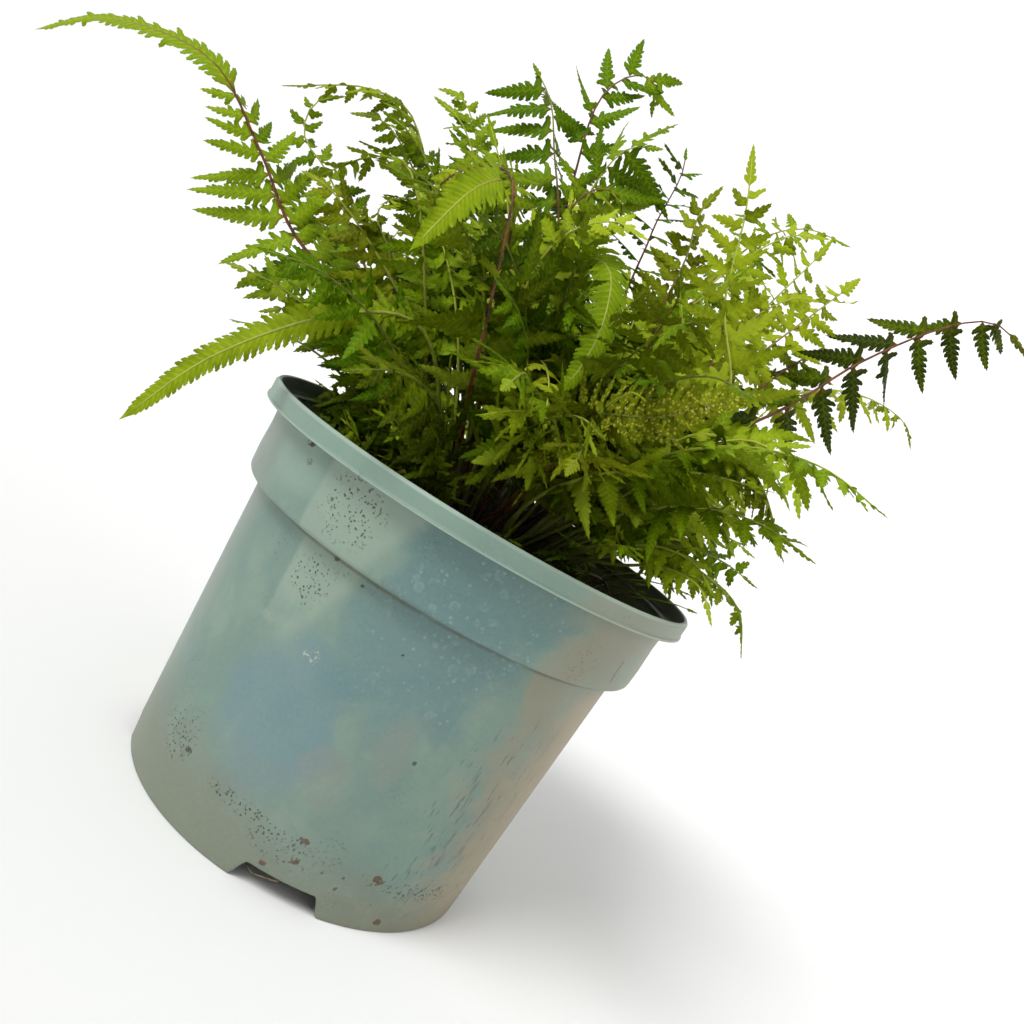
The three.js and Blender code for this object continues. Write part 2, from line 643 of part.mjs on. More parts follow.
// The whole frond as one shell: a four-sided midrib whose sides open into leaflets by turns.
function makeFrond(frond, stations, obstacles, owner) {
  const shell = new Shell();
  const rings = stations.map((station) => ({
    leftTop: shell.add(corner(station, 1, 1)),
    rightTop: shell.add(corner(station, -1, 1)),
    rightBottom: shell.add(corner(station, -1, -1)),
    leftBottom: shell.add(corner(station, 1, -1)),
  }));
  for (let i = 0; i < rings.length - 1; i += 1) {
    const [here, next] = [rings[i], rings[i + 1]];
    shell.quad(here.leftTop, here.rightTop, next.rightTop, next.leftTop);
    shell.quad(here.rightBottom, here.leftBottom, next.leftBottom, next.rightBottom);
    const leafy = i >= frond.stipeSteps;
    for (const side of [1, -1]) {
      const itsTurn = frond.paired || (i - frond.stipeSteps) % 2 === (side > 0 ? 0 : 1);
      const [top, bottom] = side > 0 ? ['leftTop', 'leftBottom'] : ['rightTop', 'rightBottom'];
      let placed = null;
      if (leafy && itsTurn) {
        const share = (stations[i].share - frond.bare) / (1 - frond.bare);
        const shape = {
          length: frond.wide * leafletShare(share, frond.taper),
          outline: frond.outline,
          droop: frond.droop,
          lean: LEAN - LEAN_FORWARD * share,
          fullness: frond.paired ? PAIRED_FULLNESS : SINGLE_FULLNESS,
        };
        placed = clearLeaflet(stations[i], stations[i + 1], side, shape, obstacles, owner);
      }
      if (placed) {
        const roots = {
          lowerTop: here[top], upperTop: next[top], lowerBottom: here[bottom], upperBottom: next[bottom],
        };
        const points = leafletPoints(stations[i], stations[i + 1], side, placed.shape, placed.bend);
        addLeaflet(shell, roots, points, side);
        const probe = leafletProbe(stations[i], stations[i + 1], side, placed.shape, placed.bend, 0);
        obstacles.push(new Obstacle(probe, owner));
      } else {
        shell.quad(here[top], next[top], next[bottom], here[bottom], side < 0);
      }
    }
  }
  const first = rings[0];
  const last = rings.at(-1);
  const tip = shell.add(tipOf(stations));
  shell.quad(first.leftTop, first.leftBottom, first.rightBottom, first.rightTop);
  shell.triangle(last.leftTop, last.rightTop, tip);
  shell.triangle(last.rightTop, last.rightBottom, tip);
  shell.triangle(last.rightBottom, last.leftBottom, tip);
  shell.triangle(last.leftBottom, last.leftTop, tip);
  return shell.solid();
}

// ---- Assembly ----------------------------------------------------------------------------------
const fronds = [
  ...OUTLINE_FRONDS.map((frond) => ({
    ...frond, outline: frond.pairs > 8 ? LANCE : KITE, stipeSteps: 4,
  })),
  ...FILLING_FRONDS.map((frond) => ({
    ...frond, path: archPath(frond), bare: 0.34, roll: [0, 0], droop: 12, taper: 0.8, outline: KITE,
    stipeSteps: 3,
  })),
  ...YOUNG_FRONDS.map((frond) => ({
    ...frond, path: archPath(frond), bare: 0.36, roll: [0, 0], droop: 8, taper: 0.8, outline: KITE,
    stipeSteps: 2, paired: true,
  })),
];

const pot = makePot();
let soil = makeSoil();
let crown = makeCrown();
const ribs = fronds.map((frond) => stationsOf(frond));
ribs.forEach((stations) => {
  const hole = holeOf(stations);
  crown = crown.subtract(hole);
  soil = soil.subtract(hole);
});

const obstacles = [new Obstacle(pot, 'pot'), new Obstacle(soil, 'soil'), new Obstacle(crown, 'crown')];
ribs.forEach((stations, i) => {
  for (let k = 0; k < stations.length - 1; k += 1) {
    obstacles.push(new Obstacle(stretch(stations.slice(k, k + 2), 0), i));
  }
  const end = stations.at(-1);
  const point = { ...end, point: tipOf(stations), width: 0.1, depth: 0.1 };
  obstacles.push(new Obstacle(stretch([end, point], 0), i));
});

const plant = new THREE.Group();
plant.add(meshOf('pot', pot, plastic));
plant.add(meshOf('soil', soil, earth));
plant.add(meshOf('crown', crown, rootwood));
fronds.forEach((frond, i) => {
  const name = `frond_${String(i + 1).padStart(2, '0')}`;
  plant.add(meshOf(name, makeFrond(frond, ribs[i], obstacles, i), leaf));
});

export default plant;
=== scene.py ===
# %% [markdown]
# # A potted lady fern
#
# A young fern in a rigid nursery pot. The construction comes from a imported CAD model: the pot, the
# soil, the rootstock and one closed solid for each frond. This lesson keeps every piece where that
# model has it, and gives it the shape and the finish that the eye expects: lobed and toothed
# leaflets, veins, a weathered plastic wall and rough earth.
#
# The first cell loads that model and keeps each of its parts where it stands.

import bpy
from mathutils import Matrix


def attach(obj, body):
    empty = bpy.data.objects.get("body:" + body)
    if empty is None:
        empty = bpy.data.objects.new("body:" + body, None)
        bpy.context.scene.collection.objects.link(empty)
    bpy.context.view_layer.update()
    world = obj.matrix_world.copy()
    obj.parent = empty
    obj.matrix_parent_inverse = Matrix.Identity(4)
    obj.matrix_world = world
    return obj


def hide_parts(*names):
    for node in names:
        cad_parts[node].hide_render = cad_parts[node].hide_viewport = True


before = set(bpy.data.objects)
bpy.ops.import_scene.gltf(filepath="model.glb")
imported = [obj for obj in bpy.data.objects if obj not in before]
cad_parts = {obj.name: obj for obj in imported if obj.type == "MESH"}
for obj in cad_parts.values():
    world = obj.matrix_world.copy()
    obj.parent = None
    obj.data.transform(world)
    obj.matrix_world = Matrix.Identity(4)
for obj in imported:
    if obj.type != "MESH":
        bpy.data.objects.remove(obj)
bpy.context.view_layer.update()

# %% Numbers and vectors
import functools
import math

import bpy
import numpy as np
from mathutils import Matrix, Vector

MM = 0.001


def unit(rows):
    """Vectors of length one, for one vector or for many rows of them."""
    rows = np.asarray(rows, float)
    return rows / np.maximum(np.linalg.norm(rows, axis=-1, keepdims=True), 1e-12)


def smooth(value, low, high):
    """0 below low, 1 above high and a soft step between them."""
    share = np.clip((value - low) / (high - low), 0, 1)
    return share * share * (3 - 2 * share)


print("halfway up, a soft step is at", smooth(0.5, 0, 1))

# %% [markdown]
# ## Where the eye is
#
# The photograph was taken close to the plant, a little from above, with the plant tilted in the
# picture. The plant itself stands upright here, so the camera rolls instead. A camera could also be
# aimed with a Track To constraint, but a constraint can't roll, so its three axes are worked out.

# %% Camera
AIM_HEIGHT = 68.3
CAMERA_DISTANCE = 377
CAMERA_ABOVE = math.radians(16)
CAMERA_TURN = math.radians(1.7)
CAMERA_RAISE = math.radians(10.3)
CAMERA_ROLL = math.radians(30.9)
FOCAL_PIXELS = 1000
PICTURE_PIXELS = 1024
SENSOR = 36


def camera_axes():
    """The camera's place, its right, its up and its line of sight."""
    ahead = Vector((0, math.cos(CAMERA_ABOVE), -math.sin(CAMERA_ABOVE)))
    right = Vector((1, 0, 0))
    up = right.cross(ahead)
    place = Vector((0, 0, AIM_HEIGHT)) - CAMERA_DISTANCE * ahead
    level = math.cos(CAMERA_RAISE)
    sight = (ahead * math.cos(CAMERA_TURN) + right * math.sin(CAMERA_TURN)) * level
    sight = (sight + up * math.sin(CAMERA_RAISE)).normalized()
    right = sight.cross(up).normalized()
    up = right.cross(sight)
    rolled_right = right * math.cos(CAMERA_ROLL) + up * math.sin(CAMERA_ROLL)
    rolled_up = up * math.cos(CAMERA_ROLL) - right * math.sin(CAMERA_ROLL)
    return place * MM, rolled_right, rolled_up, sight


def make_camera():
    place, right, up, sight = camera_axes()
    data = bpy.data.cameras.new("camera")
    data.sensor_width = SENSOR
    data.lens = SENSOR * FOCAL_PIXELS / PICTURE_PIXELS
    data.clip_start = 0.01
    data.clip_end = 50
    camera = bpy.data.objects.new("camera", data)
    bpy.context.scene.collection.objects.link(camera)
    camera.matrix_world = Matrix((
        (right.x, up.x, -sight.x, place.x),
        (right.y, up.y, -sight.y, place.y),
        (right.z, up.z, -sight.z, place.z),
        (0, 0, 0, 1),
    ))
    bpy.context.scene.camera = camera
    return camera


camera = make_camera()
print("camera at", [round(v, 3) for v in camera.location], "with a lens of", round(camera.data.lens, 2))

# %% [markdown]
# ## Shader maths as plain sums
#
# A node tree is hard to read back from a script. So a small class wraps the socket that a number
# comes out of, and sums on it add the Math nodes. `Finish` holds one material: its one method for
# nodes takes the node's type, then its settings, then what goes into its sockets.

# %% A number on a wire
class Wire:
    """A number that comes out of a node. Sums with it add Math nodes."""

    def __init__(self, finish, socket):
        self.finish = finish
        self.socket = socket

    def sum(self, operation, *values):
        node = self.finish.node("ShaderNodeMath", {"operation": operation}, dict(enumerate(values)))
        return Wire(self.finish, node.outputs[0])

    def __add__(self, other):
        return self.sum("ADD", self, other)

    def __sub__(self, other):
        return self.sum("SUBTRACT", self, other)

    def __rsub__(self, other):
        return self.sum("SUBTRACT", other, self)

    def __mul__(self, other):
        return self.sum("MULTIPLY", self, other)

    def __truediv__(self, other):
        return self.sum("DIVIDE", self, other)

    def __pow__(self, other):
        return self.sum("POWER", self, other)

    def most(self, other):
        return self.sum("MAXIMUM", self, other)

    def rise(self, low, high):
        """0 below low, 1 above high and a soft step between. With low above high it falls."""
        node = self.finish.node(
            "ShaderNodeMapRange",
            {"interpolation_type": "SMOOTHSTEP"},
            {"Value": self, "From Min": low, "From Max": high},
        )
        return Wire(self.finish, node.outputs[0])

    __radd__ = __add__
    __rmul__ = __mul__


# %% A finish
STUDIO_LIGHT = 1.2


def paint(red, green, blue):
    """A colour as the picture shows it, 0 to 255, as the share of light that a surface returns."""
    shares = [value / 255 for value in (red, green, blue)]
    light = [s / 12.92 if s < 0.04045 else ((s + 0.055) / 1.055) ** 2.4 for s in shares]
    return tuple(value / STUDIO_LIGHT for value in light) + (1,)


class Finish:
    """One material: a Principled surface, and the nodes that vary it."""

    def __init__(self, name, roughness=0.5, **constants):
        self.material = bpy.data.materials.new(name)
        self.material.use_nodes = True
        self.tree = self.material.node_tree
        self.tree.nodes.clear()
        self.colour = None
        self.skin = self.node("ShaderNodeBsdfPrincipled", {}, {"Roughness": roughness, **constants})
        self.node("ShaderNodeOutputMaterial", {}, {"Surface": self.skin.outputs[0]})

    def node(self, kind, settings, values):
        made = self.tree.nodes.new(kind)
        for name, value in settings.items():
            setattr(made, name, value)
        for name, value in values.items():
            self.feed(made.inputs[name], value)
        return made

    def feed(self, socket, value):
        if isinstance(value, Wire):
            self.tree.links.new(value.socket, socket)
        elif isinstance(value, bpy.types.NodeSocket):
            self.tree.links.new(value, socket)
        else:
            socket.default_value = value

    def wire(self, kind, settings, values, output=0):
        return Wire(self, self.node(kind, settings, values).outputs[output])

    def place(self):
        return self.node("ShaderNodeTexCoord", {}, {}).outputs["Object"]

    def place_in_mm(self):
        """How far right, back and up a point of the object is."""
        split = self.node("ShaderNodeSeparateXYZ", {}, {0: self.place()})
        return [Wire(self, split.outputs[i]) * 1000 for i in range(3)]

    def scaled(self, size, stretch=(1, 1, 1)):
        """The place on the object, in units of that many millimetres."""
        values = {0: self.place(), 1: [s / (size * MM) for s in stretch]}
        return self.node("ShaderNodeVectorMath", {"operation": "MULTIPLY"}, values).outputs[0]

    def noise(self, grain, detail=3, roughness=0.5, stretch=(1, 1, 1), bend=0):
        """Soft noise from 0 to 1, with lumps about grain millimetres across."""
        values = {"Vector": self.scaled(grain, stretch), "Scale": 1, "Detail": detail,
                  "Roughness": roughness, "Distortion": bend}
        return self.wire("ShaderNodeTexNoise", {}, values)

    def spots(self, spacing):
        """How far the nearest of many scattered points is, as a share of their spacing."""
        return self.wire("ShaderNodeTexVoronoi", {}, {"Vector": self.scaled(spacing), "Scale": 1})

    def attribute(self, name):
        return self.wire("ShaderNodeAttribute", {"attribute_name": name}, {}, "Fac")

    def mix(self, share, first, second):
        """The second colour over the first, by a share."""
        node = self.node("ShaderNodeMix", {"data_type": "RGBA"}, {0: share, 6: first, 7: second})
        return node.outputs[2]

    def coat(self, share, red, green, blue):
        """Lays a colour over what is there, by a share."""
        self.colour = self.mix(share, self.colour, paint(red, green, blue))

    def bump(self, height, depth, under=None):
        """A relief of that depth in millimetres, over another one where it is given."""
        values = {"Height": height, "Distance": depth * MM, "Strength": 1.0}
        if under is not None:
            values["Normal"] = under
        return self.node("ShaderNodeBump", {}, values).outputs[0]

    def wear(self, roughness, normal):
        self.feed(self.skin.inputs["Base Color"], self.colour)
        self.feed(self.skin.inputs["Roughness"], roughness)
        self.feed(self.skin.inputs["Normal"], normal)
        return self.material


print("a mid grey returns", round(paint(128, 128, 128)[0], 3), "of the light")

# %% [markdown]
# ## Light and floor
#
# The photograph has a soft light from the upper left and a white ground. A bowl-shaped sweep has no
# horizon from any side, where a flat floor would show a tilted edge behind the plant. A wide sun
# lights the near and the far paper alike, which an area lamp can't. The light here is brighter than
# one, so that the paper turns out white, and the colours given are made darker by as much.

# %% Studio
SWEEP_FLAT = 1.3
SWEEP_RADIUS = 3.2
SWEEP_HEIGHT = 2.6
SWEEP_TURNS = 96
SWEEP_RINGS = 40
SWEEP_CURVE = 2.2
PAPER = (0.9, 0.9, 0.895, 1)
AMBIENT = 0.42


def make_floor():
    share = np.linspace(0, 1, SWEEP_RINGS)
    away = SWEEP_RADIUS * share
    height = SWEEP_HEIGHT * np.clip((away - SWEEP_FLAT) / (SWEEP_RADIUS - SWEEP_FLAT), 0, 1) ** SWEEP_CURVE
    turn = np.linspace(0, 2 * np.pi, SWEEP_TURNS, endpoint=False)
    points = [(0, 0, 0)]
    for ring in range(1, SWEEP_RINGS):
        points += [(away[ring] * math.cos(a), away[ring] * math.sin(a), height[ring]) for a in turn]
    faces = [(0, 1 + i, 1 + (i + 1) % SWEEP_TURNS) for i in range(SWEEP_TURNS)]
    for ring in range(SWEEP_RINGS - 2):
        low = 1 + ring * SWEEP_TURNS
        for i in range(SWEEP_TURNS):
            j = (i + 1) % SWEEP_TURNS
            faces.append((low + i, low + SWEEP_TURNS + i, low + SWEEP_TURNS + j, low + j))
    mesh = bpy.data.meshes.new("floor")
    mesh.from_pydata(points, [], faces)
    mesh.shade_smooth()
    mesh.materials.append(Finish("pale paper", 0.95, **{"Base Color": PAPER}).material)
    floor = bpy.data.objects.new("floor", mesh)
    bpy.context.scene.collection.objects.link(floor)
    return floor


def make_sun(name, toward, strength, spread):
    """A far lamp. toward is the direction that it stands in, and spread its width in degrees."""
    data = bpy.data.lights.new(name, "SUN")
    data.energy = strength
    data.angle = math.radians(spread)
    lamp = bpy.data.objects.new(name, data)
    bpy.context.scene.collection.objects.link(lamp)
    lamp.rotation_mode = "QUATERNION"
    lamp.rotation_quaternion = (-Vector(toward)).to_track_quat("-Z", "Y")
    return lamp


world = bpy.data.worlds.new("soft white")
world.use_nodes = True
world.node_tree.nodes["Background"].inputs["Color"].default_value = (1, 1, 1, 1)
world.node_tree.nodes["Background"].inputs["Strength"].default_value = AMBIENT
bpy.context.scene.world = world
bpy.context.scene.view_settings.view_transform = "Standard"
make_floor()
make_sun("key", (-0.75, -0.7, 1.25), 2.4, 30)
make_sun("fill", (0.9, -0.9, 0.45), 0.6, 60)

# %% [markdown]
# ## From numbers to a mesh
#
# Every piece here is worked out as arrays: a row for each point, and the faces as rows of point
# numbers. Blender takes such arrays whole, which is far quicker than adding faces one by one. Values
# on the points, such as how near a vein is, travel with the mesh and are read by the materials.

# %% Mesh helper
def build_piece(name, points, faces, materials, choice=None, values=None, edge=None):
    """A piece from points in millimetres and groups of faces with three or four corners.

    choice is a material's number for each face, values are numbers on the points, and edge says
    which points lie on a sharp rim."""
    mesh = bpy.data.meshes.new(name)
    corners = np.concatenate([group.ravel() for group in faces])
    sizes = np.concatenate([np.full(len(group), group.shape[1]) for group in faces])
    mesh.vertices.add(len(points))
    mesh.vertices.foreach_set("co", (np.asarray(points) * MM).astype(np.float32).ravel())
    mesh.loops.add(len(corners))
    mesh.loops.foreach_set("vertex_index", corners.astype(np.int32))
    mesh.polygons.add(len(sizes))
    mesh.polygons.foreach_set("loop_start", (np.cumsum(sizes) - sizes).astype(np.int32))
    for material in materials:
        mesh.materials.append(material)
    if choice is not None:
        mesh.polygons.foreach_set("material_index", np.asarray(choice, np.int32))
    mesh.update(calc_edges=True)
    mesh.shade_smooth()
    for label, numbers in (values or {}).items():
        layer = mesh.attributes.new(label, "FLOAT", "POINT")
        layer.data.foreach_set("value", np.asarray(numbers, np.float32))
    if edge is not None:
        ends = np.empty(len(mesh.edges) * 2, np.int32)
        mesh.edges.foreach_get("vertices", ends)
        ends = ends.reshape(-1, 2)
        rim = np.asarray(edge, bool)
        mesh.edges.foreach_set("use_edge_sharp", rim[ends[:, 0]] & rim[ends[:, 1]])
    piece = bpy.data.objects.new(name, mesh)
    bpy.context.scene.collection.objects.link(piece)
    return piece


def seat(piece, slot, *nodes):
    """The piece rides with the plant and stands for its CAD nodes, which are hidden. slot is not used."""
    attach(piece, "root")
    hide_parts(*nodes)
    return piece


def fan(ring, centre):
    """Triangles from a ring of points to one more point."""
    return np.stack([ring, np.roll(ring, -1), np.full(len(ring), centre)], -1)


def ring_faces(rings, first, last):
    """Triangles and squares over rings of points, closed by one point at each end.

    They face out where the rings run clockwise, seen from the last one."""
    fours = [np.stack([after, np.roll(after, -1), np.roll(before, -1), before], -1)
             for before, after in zip(rings, rings[1:])]
    return np.concatenate([fan(rings[0], first), fan(rings[-1], last)[:, ::-1]]), np.concatenate(fours)


def closed_rings(rings, first, last):
    """The points and faces of a body over rings of points, closed by one point at each end."""
    points = np.concatenate([rings.reshape(-1, 3), [first, last]])
    index = np.arange(len(points) - 2).reshape(len(rings), -1)
    return points, *ring_faces(index, len(points) - 2, len(points) - 1)


class Pile:
    """Shapes gathered into the arrays of one piece."""

    def __init__(self):
        self.points = []
        self.threes = []
        self.fours = []
        self.three_choice = []
        self.four_choice = []
        self.values = {}
        self.rims = []
        self.count = 0

    def add(self, points, threes, fours, choice=0, rim=None, **values):
        """Adds a shape. choice is one material's number, or a row of them for each group of faces."""
        points = np.asarray(points, float)
        three_choice, four_choice = choice if isinstance(choice, tuple) else (choice, choice)
        for group, store, numbers, chosen in (
            (threes, self.threes, self.three_choice, three_choice),
            (fours, self.fours, self.four_choice, four_choice),
        ):
            store.append(np.asarray(group) + self.count)
            numbers.append(np.broadcast_to(chosen, len(group)))
        for label in set(values) | set(self.values):
            held = self.values.setdefault(label, [np.zeros(self.count)] if self.count else [])
            held.append(np.broadcast_to(values.get(label, 0.0), len(points)).astype(float))
        self.rims.append(np.zeros(len(points), bool) if rim is None else rim)
        self.points.append(points)
        self.count += len(points)

    def make(self, name, materials):
        faces = [np.concatenate(store) for store in (self.threes, self.fours)]
        choice = np.concatenate([k for kinds in (self.three_choice, self.four_choice) for k in kinds])
        values = {label: np.concatenate(held) for label, held in self.values.items()}
        return build_piece(name, np.concatenate(self.points), faces, materials, choice, values,
                           np.concatenate(self.rims))


def tube(path, radii, sides=8, flat=1.0, hint=(0, 0, 1)):
    """The points and faces of a closed tube along a path. flat is its height over its width."""
    path = np.asarray(path, float)
    along = unit(np.gradient(path, axis=0))
    across = unit(np.cross(along, np.asarray(hint, float)) + 1e-6)
    up = np.cross(across, along)
    turn = np.linspace(0, 2 * np.pi, sides, endpoint=False)
    radii = np.broadcast_to(radii, len(path))
    ring = (across[:, None] * np.cos(turn)[:, None] + flat * up[:, None] * np.sin(turn)[:, None])
    return closed_rings(path[:, None] + ring * radii[:, None, None], path[0], path[-1])


trial = tube([(0, 0, 0), (0, 0, 1)], 1)
print("a plain tube has", len(trial[0]), "points")

# %% [markdown]
# ## The pot
#
# An injection-moulded nursery pot: a thin tapering wall, a wider cuff that stiffens its top, a flat
# lip to lift it by, and notches in its foot that let water run out. Such a shape is a profile turned
# about its axis. A Screw modifier would do that too, but the notches have to be pressed into the
# foot, so the points are worked out ring by ring and the foot's points are lifted at each notch.

# %% Pot sizes
POT_HEIGHT = 136.6
LIP_RADIUS = 85
LIP_BOTTOM = 129.8
CUFF_TOP_RADIUS = 79.7
CUFF_BOTTOM_RADIUS = 78.5
CUFF_BOTTOM = 104.8
CUFF_STEP = 5.3
BASE_RADIUS = 67.5
WALL_TAPER = (CUFF_BOTTOM_RADIUS - CUFF_STEP - BASE_RADIUS) / CUFF_BOTTOM
WALL = 1.5
SEAT_RADIUS = 34
CHANNEL_ROOF = 8
FLOOR_TOP = 9.6
FLOOR_THICKNESS = 1.6
WELL_RADIUS = SEAT_RADIUS - 1.3
NOTCH_COUNT = 4
NOTCH_BOTTOM_WIDTH = 32
NOTCH_TOP_WIDTH = 24
NOTCH_HEIGHT = 7
NOTCH_TURN = 6
NOTCH_FADE = 18
DRAIN_COUNT = 6
DRAIN_RADIUS = 4
DRAIN_RING = 49
OUTSIDE, SKIRT, REST = 0, 1, 2


def wall_radius(height):
    """The wall's outer radius below the cuff."""
    return BASE_RADIUS + WALL_TAPER * height


def rounded(corners, steps=5):
    """A profile with its corners rounded. Each corner is radius, height, rounding and zone."""
    out = []
    for i, (x, z, round_by, zone) in enumerate(corners):
        here = np.array([x, z], float)
        if not round_by or i in (0, len(corners) - 1):
            out.append((x, z, zone))
            continue
        back = unit(np.array(corners[i - 1][:2]) - here)
        ahead = unit(np.array(corners[i + 1][:2]) - here)
        half = math.acos(np.clip(back @ ahead, -1, 1)) / 2
        centre = here + unit(back + ahead) * round_by / math.sin(half)
        start = here + back * round_by / math.tan(half) - centre
        stop = here + ahead * round_by / math.tan(half) - centre
        for share in np.linspace(0, 1, steps):
            spot = centre + unit(start * (1 - share) + stop * share) * round_by
            out.append((spot[0], spot[1], zone))
    return out


POT_PROFILE = rounded([
    (0, 0, 0, REST),
    (SEAT_RADIUS, 0, 0.6, REST),
    (SEAT_RADIUS + 2, CHANNEL_ROOF, 0.6, REST),
    (wall_radius(CHANNEL_ROOF) - WALL - 0.4, CHANNEL_ROOF, 0.5, REST),
    (wall_radius(4) - WALL, 4, 0, SKIRT),
    (wall_radius(0) - WALL, 0, 0.5, SKIRT),
    (wall_radius(0), 0, 0.7, OUTSIDE),
    *[(wall_radius(z), z, 0, OUTSIDE) for z in (3, 6, 10, 14, 18, 30, 45, 60, 75, 90, 100)],
    (wall_radius(CUFF_BOTTOM - 0.3), CUFF_BOTTOM - 0.3, 0.8, OUTSIDE),
    (CUFF_BOTTOM_RADIUS - 0.1, CUFF_BOTTOM + 0.2, 2.4, OUTSIDE),
    (CUFF_BOTTOM_RADIUS + 0.5, CUFF_BOTTOM + 8, 0, OUTSIDE),
    (CUFF_TOP_RADIUS - 0.6, LIP_BOTTOM - 8, 0, OUTSIDE),
    (CUFF_TOP_RADIUS, LIP_BOTTOM, 0.8, OUTSIDE),
    (LIP_RADIUS + 0.25, LIP_BOTTOM, 0.3, OUTSIDE),
    (LIP_RADIUS + 0.3, LIP_BOTTOM + 0.9, 0.3, OUTSIDE),
    (LIP_RADIUS - 0.1, LIP_BOTTOM + 1.3, 0.2, OUTSIDE),
    (LIP_RADIUS, POT_HEIGHT - 1.1, 0.4, OUTSIDE),
    (LIP_RADIUS - 0.8, POT_HEIGHT, 0.4, OUTSIDE),
    (LIP_RADIUS - WALL - 0.4, POT_HEIGHT, 0.5, REST),
    (LIP_RADIUS - WALL - 0.3, LIP_BOTTOM + 1.6, 0.5, REST),
    (CUFF_TOP_RADIUS - WALL, LIP_BOTTOM + 1.5, 0.8, REST),
    (CUFF_BOTTOM_RADIUS - WALL, CUFF_BOTTOM + 3.4, 1.2, REST),
    (wall_radius(CUFF_BOTTOM) - WALL, CUFF_BOTTOM + 0.2, 1, REST),
    (wall_radius(60) - WALL, 60, 0, REST),
    (wall_radius(FLOOR_TOP) - WALL, FLOOR_TOP, 1.5, REST),
    (WELL_RADIUS + 2, FLOOR_TOP, 0.6, REST),
    (WELL_RADIUS, FLOOR_THICKNESS, 0.6, REST),
    (0, FLOOR_THICKNESS, 0, REST),
])
print("the pot's profile has", len(POT_PROFILE), "points")


# %% Turn the pot
def notch_lift(turn):
    """How high the foot's edge is at an angle, with rounded corners at each notch."""
    spacing = 2 * np.pi / NOTCH_COUNT
    off = np.abs((turn - math.radians(NOTCH_TURN) + spacing / 2) % spacing - spacing / 2) * BASE_RADIUS
    share = np.clip((NOTCH_BOTTOM_WIDTH / 2 - off) / ((NOTCH_BOTTOM_WIDTH - NOTCH_TOP_WIDTH) / 2), 0, 1)
    return NOTCH_HEIGHT * (0.4 * share + 0.6 * smooth(share, 0, 1))


def pot_columns():
    """Angles all round, closer together where a notch's sides are."""
    spacing = 360 / NOTCH_COUNT
    plain = np.arange(0, 360, 2.0)
    sides = [NOTCH_TURN + n * spacing + s * a
             for n in range(NOTCH_COUNT) for s in (-1, 1) for a in np.arange(9, 15, 0.5)]
    return np.radians(np.unique(np.round(np.concatenate([plain, np.array(sides) % 360]), 3)))


def make_pot_body(materials):
    turns = pot_columns()
    lift = notch_lift(turns)
    rows = []
    for radius, height, zone in POT_PROFILE[1:-1]:
        fade = {OUTSIDE: NOTCH_FADE, SKIRT: CHANNEL_ROOF, REST: 0}[zone]
        z = np.full(len(turns), float(height))
        if height < fade:
            z = lift + height * (fade - lift) / fade
        r = radius + (wall_radius(z) - wall_radius(height) if zone != REST else 0)
        rows.append(np.stack([r * np.cos(turns), r * np.sin(turns), z], -1))
    points = np.concatenate(rows + [[(0, 0, 0), (0, 0, FLOOR_THICKNESS)]])
    under, inside = len(points) - 2, len(points) - 1
    rings = np.arange(under).reshape(len(rows), len(turns))
    return build_piece("pot_shell", points, ring_faces(rings[::-1], inside, under), materials)


print("a notch lifts the foot's edge by", round(float(notch_lift(math.radians(NOTCH_TURN))), 1), "mm")


# %% Drill the drains
def drill_drains(pot):
    """Cuts the drain holes with one Boolean, and keeps the result as the pot's own mesh."""
    pile = Pile()
    for i in range(DRAIN_COUNT):
        turn = math.radians((i + 0.5) * 360 / DRAIN_COUNT)
        x, y = DRAIN_RING * math.cos(turn), DRAIN_RING * math.sin(turn)
        drill = [(x, y, CHANNEL_ROOF - 3), (x, y, FLOOR_TOP + 3)]
        pile.add(*tube(drill, DRAIN_RADIUS, 20, hint=(1, 0, 0)))
    cutter = pile.make("drain_cutter", [])
    modifier = pot.modifiers.new("drains", "BOOLEAN")
    modifier.object = cutter
    modifier.solver = "EXACT"
    graph = bpy.context.evaluated_depsgraph_get()
    mesh = bpy.data.meshes.new_from_object(pot.evaluated_get(graph))
    pot.modifiers.clear()
    pot.data = mesh
    bpy.data.objects.remove(cutter)
    mesh.shade_smooth()
    mesh.set_sharp_from_angle(angle=math.radians(40))
    return pot


print("the drains are", 2 * DRAIN_RADIUS, "mm wide")

# %% [markdown]
# ## Weathered plastic
#
# The wall is a pale blue-grey green that age has made uneven: bluish and greenish clouds, dried water
# spots, a dusty haze at the left, grains of soil, rust marks and fine upright scratches. Painted
# shade makes the right side greyer and the inside dark. Painted light puts a sheen on the haze and the
# left edge, makes the right edge warmer, lifts the lip's shadow and draws bright lines on the lip.
# Each of these is a mask from noise or scattered points, kept to the place where it shows by a soft
# patch, and laid over the one below it. Distances round the wall are in millimetres, from its front.
# They jump at the back, so what reaches that far is placed by how far to the side it is instead.

# %% Places on the wall
WRAP_RADIUS = 72


def strongest(masks):
    """The largest of several masks at each point."""
    return functools.reduce(Wire.most, masks)


def line(offset, half, edge=0.1):
    """1 where an offset is near 0, and 0 where it is larger than half."""
    share = offset / half
    return (share * share).rise(1, edge)


